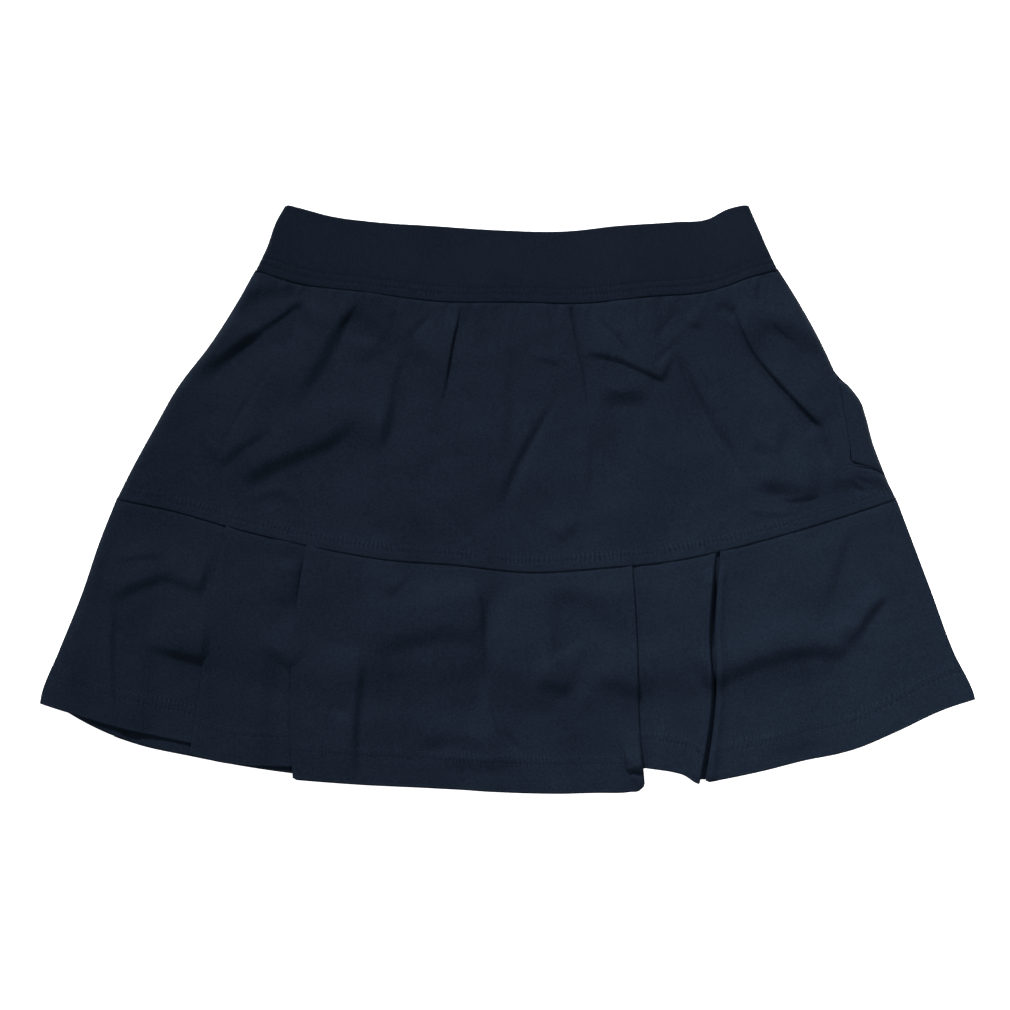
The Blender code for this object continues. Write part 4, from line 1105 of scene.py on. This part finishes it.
# ==== hidden pieces
def shorts_half(side_top, hem, level):
    """One side of the shorts, from its outer edge to the middle and from waist to leg hem."""
    outer_hem, inner_hem = np.array(hem)
    share = even_shares(SHORTS_COLUMNS)
    top_x = side_top + (CROTCH[0] - side_top) * share
    seam = [(x, y - SIDE_GAP) for x, y in WAIST_SEAM]
    top = np.stack([top_x, smooth_value(seam, top_x)], axis=-1)
    side_low = outer_hem + (top[0] - outer_hem) * THIGH_SHARE
    thigh = side_low + (np.array(CROTCH) - side_low) * share[:, None]
    leg_hem = outer_hem + (inner_hem - outer_hem) * share[:, None]
    seat = top + (thigh - top) * even_shares(SEAT_ROWS)[:, None, None]
    leg = thigh + (leg_hem - thigh) * even_shares(LEG_ROWS)[1:, None, None]
    plan = np.concatenate([seat, leg])
    return np.dstack([plan, np.full(plan.shape[:2], level)])


def make_shorts(side, level, face, material):
    """Shorts panel of one side with both its legs; gives the rows of its leg hems."""
    left_top = WAIST_SEAM[0][0] + SHORTS_SIDE_INSET
    right_top = WAIST_SEAM[-1][0] - SHORTS_SIDE_INSET
    halves = [shorts_half(left_top, LEFT_LEG, level),
              shorts_half(right_top, RIGHT_LEG, level)[:, ::-1]]
    piece = piece_from_grids(f"shorts_lining_{side}", halves, material, LINING)
    dress(piece, f"shorts_{side}")
    return [face_line(half, distance, face, LINING) for half in halves
            for distance in LEG_HEM_ROWS]


def bag_slope(x, slant):
    """How far a row of the bag comes down beyond its corner."""
    return np.maximum(0, x - BAG_CORNER_X) * slant


def bag_row(level_y, slant):
    """(x, z) of one row of the bag: lower leaf inwards, its fold, upper leaf outwards."""
    radius = BAG_TURN / 2
    fold = value_at(BAG_FOLD, level_y) + radius + LINING_SOLID / 2
    mouth = value_at([(y, x) for x, y in MOUTH_SIDE[:MOUTH_POINTS][::-1]], level_y)
    side = [(y, x) for x, y in SKIRT_RIGHT[::-1]]
    edge = value_at(side, level_y)
    edge = value_at(side, level_y - bag_slope(edge, slant))
    shows = float(smoothstep((MOUTH_TOP - BAG_MARGIN - level_y) / MOUTH_EASE))
    leaf_end = mouth - LIP_INSET - (SEAM_INSET - LIP_INSET) * (1 - shows)
    end = edge - SEAM_INSET * (1 - shows)
    low = SKIRT_SOLID + SIDE_GAP + LINING_SOLID / 2
    shares = even_shares(BAG_COLUMNS)[1:]
    near = end - np.array(NEAR_SIDE)
    rise = rounded(end - near, SIDE_ROUND) * shows + 1 - shows
    inner = near[-1] + (fold - near[-1]) * shares
    lower = np.concatenate([near, inner])
    shows_above = shows * smoothstep((level_y - BAG_BOTTOM) / STRIP_EASE)
    past_mouth = smoothstep((lower - mouth + STRIP_LEAD) / STRIP_EASE)
    swell = POCKET_LEVEL + STRIP_RISE * shows_above * past_mouth
    swell[:len(near)] = low + (swell[:len(near)] - low) * rise
    row = list(zip(lower.tolist(), swell.tolist()))
    for angle in np.linspace(0, math.pi, TURN_STEPS + 1)[1:]:
        height = POCKET_LEVEL + radius * (1 - math.cos(angle))
        row.append((fold - radius * math.sin(angle), height))
    row += [(fold + (leaf_end - fold) * s, POCKET_LEVEL + BAG_TURN) for s in shares]
    return row


def make_pocket_bag(material):
    """Two leaves of one folded bag; the lower one shows past the mouth and closes the side."""
    grid = []
    for v in even_shares(BAG_ROWS):
        level_y = BAG_TOP + (BAG_BOTTOM - BAG_TOP) * v
        slant = BAG_SLANT * v
        grid.append([(x, level_y - bag_slope(x, slant), z) for x, z in bag_row(level_y, slant)])
    grid = np.array(grid)[:, ::-1]
    piece = piece_from_grids("pocket_bag_cloth", [grid], material, LINING)
    dress(piece, "pocket_bag")


# ==== thread
def face_line(grid, distance, face, wall=CLOTH):
    """Line on a cloth's upper face, 1, or lower one, -1, at a distance up from its last row."""
    rows = grid[::-1]
    steps = np.linalg.norm(np.diff(rows[..., :2], axis=0), axis=-1)
    reach = np.concatenate([np.zeros((1, grid.shape[1])), np.cumsum(steps, axis=0)])
    above = np.clip((reach < distance).sum(axis=0), 1, len(rows) - 1)
    column = np.arange(grid.shape[1])
    start, end = reach[above - 1, column], reach[above, column]
    share = ((distance - start) / (end - start))[:, None]
    line = rows[above - 1, column] * (1 - share) + rows[above, column] * share
    line[:, 2] += face * wall / 2
    return line


def stitch_rings(line, face, length, gap):
    """Rings of points of short stitches that follow a line, each dipping into the cloth."""
    reach = lengths(line)
    starts = np.arange(0, reach[-1] - length, length + gap)
    places = starts[:, None] + even_shares(len(STITCH_RISE)) * length
    centre = np.stack([np.interp(places, reach, line[:, axis]) for axis in range(3)], axis=-1)
    forward = unit(np.gradient(centre, axis=1))
    aside = unit(np.cross(forward, (0.0, 0.0, 1.0)))
    above = np.cross(aside, forward)
    centre = centre + face * THREAD_RADIUS * np.array(STITCH_RISE)[:, None] * above
    angles = 2 * math.pi * np.arange(THREAD_SIDES) / THREAD_SIDES
    thickness = THREAD_RADIUS * np.array(STITCH_SWELL)[:, None, None]
    round_off = (np.cos(angles)[:, None] * aside[:, :, None]
                 + np.sin(angles)[:, None] * above[:, :, None])
    return centre[:, :, None] + thickness * round_off


def make_stitching(name, rows, face, material, length=STITCH_LENGTH, gap=STITCH_GAP):
    """Rows of stitches as one piece."""
    rings = np.concatenate([stitch_rings(row, face, length, gap) for row in rows])
    sections = rings.shape[1]
    one = np.array(grid_faces(sections, THREAD_SIDES, 0, True, False))
    offsets = np.arange(len(rings))[:, None, None] * sections * THREAD_SIDES
    faces = (one + offsets).reshape(-1, 4)
    piece = add_mesh(name, rings.reshape(-1, 3), faces.tolist(), material)
    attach(piece, "root")


def pocket_tack():
    """Lines of the bar tack that closes the foot of the pocket mouth."""
    (x1, y1), (x2, y2) = TACK
    share = even_shares(TACK_POINTS)
    level = np.full(TACK_POINTS, TACK_LEVEL)
    return [np.stack([x1 + (x2 - x1) * share, y1 + row * TACK_SPACING + (y2 - y1) * share, level],
                     axis=-1)
            for row in range(TACK_ROWS)]


# ==== materials
SOCKETS = {"number": "NodeSocketFloat", "colour": "NodeSocketColor", "vector": "NodeSocketVector"}


def node_group(name, inputs, outputs):
    """Shader group with named sockets, and its input and output nodes."""
    group = bpy.data.node_groups.new(name, "ShaderNodeTree")
    for in_out, sockets in (("INPUT", inputs), ("OUTPUT", outputs)):
        for socket, kind in sockets.items():
            group.interface.new_socket(socket, in_out=in_out, socket_type=SOCKETS[kind])
    return group, group.nodes.new("NodeGroupInput"), group.nodes.new("NodeGroupOutput")


def set_inputs(tree, node, values):
    """Give a node's named or numbered inputs their numbers, colours or links."""
    for slot, value in values.items():
        if isinstance(value, bpy.types.NodeSocket):
            tree.links.new(value, node.inputs[slot])
        else:
            node.inputs[slot].default_value = value


def maths(tree, operation, *operands):
    """A Math node's result; each operand is a number or a socket."""
    node = tree.nodes.new("ShaderNodeMath")
    node.operation = operation
    set_inputs(tree, node, dict(enumerate(operands)))
    return node.outputs[0]


def weighted(tree, *terms):
    """Sum of the values of (value, share) pairs, each times its share."""
    parts = [maths(tree, "MULTIPLY", value, share) for value, share in terms]
    total = parts[0]
    for part in parts[1:]:
        total = maths(tree, "ADD", total, part)
    return total


def noise(tree, place, scale, detail):
    """A Noise Texture's value over a position, less a half."""
    node = tree.nodes.new("ShaderNodeTexNoise")
    set_inputs(tree, node, {"Scale": scale, "Detail": detail, "Vector": place})
    return maths(tree, "SUBTRACT", node.outputs["Fac"], 0.5)


def wave(group, place, rate, drift):
    """Sine wave along a coordinate, so many to the metre, shifted by a drift in turns."""
    turns = maths(group, "ADD", maths(group, "MULTIPLY", place, rate), drift)
    return maths(group, "SINE", maths(group, "MULTIPLY", turns, 2 * math.pi))


def cloth_waves(group, entry, place):
    """Height of the knit's wales and courses, and of the ticks that stitches press in it."""
    split = group.nodes.new("ShaderNodeSeparateXYZ")
    group.links.new(group.nodes.new("ShaderNodeTexCoord").outputs["UV"], split.inputs[0])
    drift = noise(group, place, DRIFT_SCALE, 2.0)
    wales = wave(group, split.outputs["X"], entry.outputs["Wales per Metre"], drift)
    courses = wave(group, split.outputs["Y"], entry.outputs["Courses per Metre"], drift)
    knit = weighted(group, (wales, 1.0), (courses, COURSE_SHARE))
    uneven = maths(group, "MULTIPLY", noise(group, place, TICK_UNEVEN, 1.0), TICK_DRIFT)
    ticks = wave(group, split.outputs["X"], TICK_RATE, uneven)
    patchy = maths(group, "MULTIPLY", noise(group, place, TICK_PATCH, 1.0), TICK_CONTRAST)
    patchy = maths(group, "MAXIMUM", maths(group, "ADD", patchy, TICK_LEAST), 0.0)
    ticks = maths(group, "MULTIPLY", ticks, patchy)
    return knit, maths(group, "MULTIPLY", ticks, mask_value(group, "sewn"))


def mask_value(group, name):
    """A mask stored on the cloth's points."""
    attribute = group.nodes.new("ShaderNodeAttribute")
    attribute.attribute_name = name
    return attribute.outputs["Fac"]


def knit_group():
    """Dyed knit: yarn in two tones over a fine relief, worn paler and duller at its edges, with thread
    and painted shade in the ticks along its rows of stitches.
    """
    group, entry, leave = node_group(
        "knit", {"Dark": "colour", "Light": "colour", "Wales per Metre": "number",
                 "Courses per Metre": "number", "Relief": "number"},
        {"Color": "colour", "Roughness": "number", "Normal": "vector"})
    place = group.nodes.new("ShaderNodeTexCoord").outputs["Object"]
    fleck = noise(group, place, FLECK_SCALE, 1.0)
    tone = noise(group, place, TONE_SCALE, 3.0)
    knit, ticks = cloth_waves(group, entry, place)
    wear = maths(group, "MULTIPLY", mask_value(group, "wear"),
                 maths(group, "ADD", noise(group, place, WEAR_SCALE, 2.0), 0.5))
    # The ticks tint the yarn with thread colour and with painted shade in the stitches' dents.
    shade = weighted(group, (fleck, FLECK_SHARE), (tone, TONE_SHARE), (wear, WEAR_SHARE),
                     (ticks, TICK_THREAD_AND_SHADE_SHARE))
    mix = group.nodes.new("ShaderNodeMix")
    mix.data_type = "RGBA"
    set_inputs(group, mix, {"Factor": maths(group, "ADD", shade, 0.5),
                            "A": entry.outputs["Dark"], "B": entry.outputs["Light"]})
    dull = maths(group, "MULTIPLY", maths(group, "ADD", fleck, wear), ROUGHNESS_SHARE)
    height = weighted(group, (knit, 1.0), (fleck, FLECK_HEIGHT), (ticks, TICK_HEIGHT))
    bump = group.nodes.new("ShaderNodeBump")
    set_inputs(group, bump, {"Height": height, "Distance": entry.outputs["Relief"]})
    set_inputs(group, leave, {"Color": mix.outputs["Result"],
                              "Roughness": maths(group, "ADD", dull, CLOTH_ROUGHNESS),
                              "Normal": bump.outputs["Normal"]})
    return group


def cloth_material(name, knit, dark, light, wales, courses, relief):
    """Polyester knit with a faint sheen."""
    material = bpy.data.materials.new(name)
    material.use_nodes = True
    tree = material.node_tree
    group = tree.nodes.new("ShaderNodeGroup")
    group.node_tree = knit
    set_inputs(tree, group, {"Dark": (*dark, 1.0), "Light": (*light, 1.0),
                             "Wales per Metre": wales, "Courses per Metre": courses,
                             "Relief": relief * MM})
    set_inputs(tree, tree.nodes["Principled BSDF"], {
        "Specular IOR Level": CLOTH_GLOSS, "Specular Tint": CLOTH_TINT,
        "Base Color": group.outputs["Color"], "Roughness": group.outputs["Roughness"],
        "Normal": group.outputs["Normal"]})
    return material


# ==== studio
def make_camera():
    """Camera straight above, far enough off that the garment shows almost no perspective."""
    data = bpy.data.cameras.new("camera")
    data.lens = LENS
    data.sensor_width = SENSOR
    data.clip_start, data.clip_end = CAMERA_REACH
    camera = add_object("camera", data)
    x, y = CAMERA_CENTRE
    distance = FRAME_WIDTH * LENS / SENSOR
    camera.location = (x * MM, y * MM, (distance + CAMERA_LEVEL) * MM)
    bpy.context.scene.camera = camera


def make_light(name, place, aim, size, spread, power):
    """Round soft light that looks at a point, its beam fading over a spread in degrees."""
    data = bpy.data.lights.new(name, "AREA")
    data.shape = "DISK"
    data.size = size
    data.spread = math.radians(spread)
    data.energy = power
    light = add_object(name, data)
    light.location = place
    way = Vector(aim) - Vector(place)
    light.rotation_euler = way.to_track_quat("-Z", "Y").to_euler()


def make_floor():
    """Pale plain floor that glows a little, as under a lit white ground."""
    mesh = bpy.data.meshes.new("floor")
    corners = [(-1, -1), (1, -1), (1, 1), (-1, 1)]
    mesh.from_pydata([(x * FLOOR_REACH, y * FLOOR_REACH, 0) for x, y in corners], [],
                     [(0, 1, 2, 3)])
    floor = add_object("floor", mesh)
    floor.location.z = FLOOR_LEVEL * MM
    material = bpy.data.materials.new("floor")
    material.use_nodes = True
    tree = material.node_tree
    set_inputs(tree, tree.nodes["Principled BSDF"], {
        "Base Color": FLOOR_COLOUR, "Roughness": FLOOR_ROUGHNESS,
        "Emission Color": WHITE, "Emission Strength": FLOOR_GLOW})
    mesh.materials.append(material)


def make_studio():
    """Floor, faint white surroundings, lights and camera."""
    make_camera()
    make_floor()
    world = bpy.data.worlds.new("studio")
    world.use_nodes = True
    tree = world.node_tree
    set_inputs(tree, tree.nodes["Background"], {"Color": WHITE, "Strength": AMBIENT})
    bpy.context.scene.world = world
    for name, light in LIGHTS.items():
        make_light(name, *light)
    bpy.context.scene.view_settings.view_transform = "Standard"


def main():
    """The studio, the cloth pieces from the bottom layer up, and the stitches in their seams."""
    knit = knit_group()
    skirt_cloth, band_cloth, lining_cloth, thread = (
        cloth_material(name, knit, *cloth) for name, cloth in CLOTHS.items())
    make_studio()
    waist_front, waist_back = make_waistband(band_cloth)
    seam_back = make_skirt("back", skirt_back_grid(), -1, skirt_cloth)
    hem_back = make_flounce("back", *flounce_back_grid(), -1, FLOUNCE_BACK_SHEET, skirt_cloth,
                            ["floor"])
    leg_back = make_shorts("back", SHORTS_BACK_LEVEL, -1, lining_cloth)
    leg_front = make_shorts("front", SHORTS_FRONT_LEVEL, 1, lining_cloth)
    make_pocket_bag(lining_cloth)
    seam_front = make_skirt("front", skirt_front_grid(), 1, skirt_cloth)
    hem_front = make_flounce("front", *flounce_front_grid(), 1, FLOUNCE_FRONT_SHEET, skirt_cloth,
                             ["flounce_back_cloth", "shorts_lining_front"])
    stitched = {"waist": (waist_front, waist_back), "seam": (seam_front, seam_back),
                "hem": (hem_front, hem_back), "leg": (leg_front, leg_back)}
    for name, (front, back) in stitched.items():
        make_stitching(f"{name}_stitches_front", front, 1, thread)
        make_stitching(f"{name}_stitches_back", back, -1, thread)
    make_stitching("pocket_tack", pocket_tack(), 1, thread, TACK_STITCH, TACK_GAP)


main()
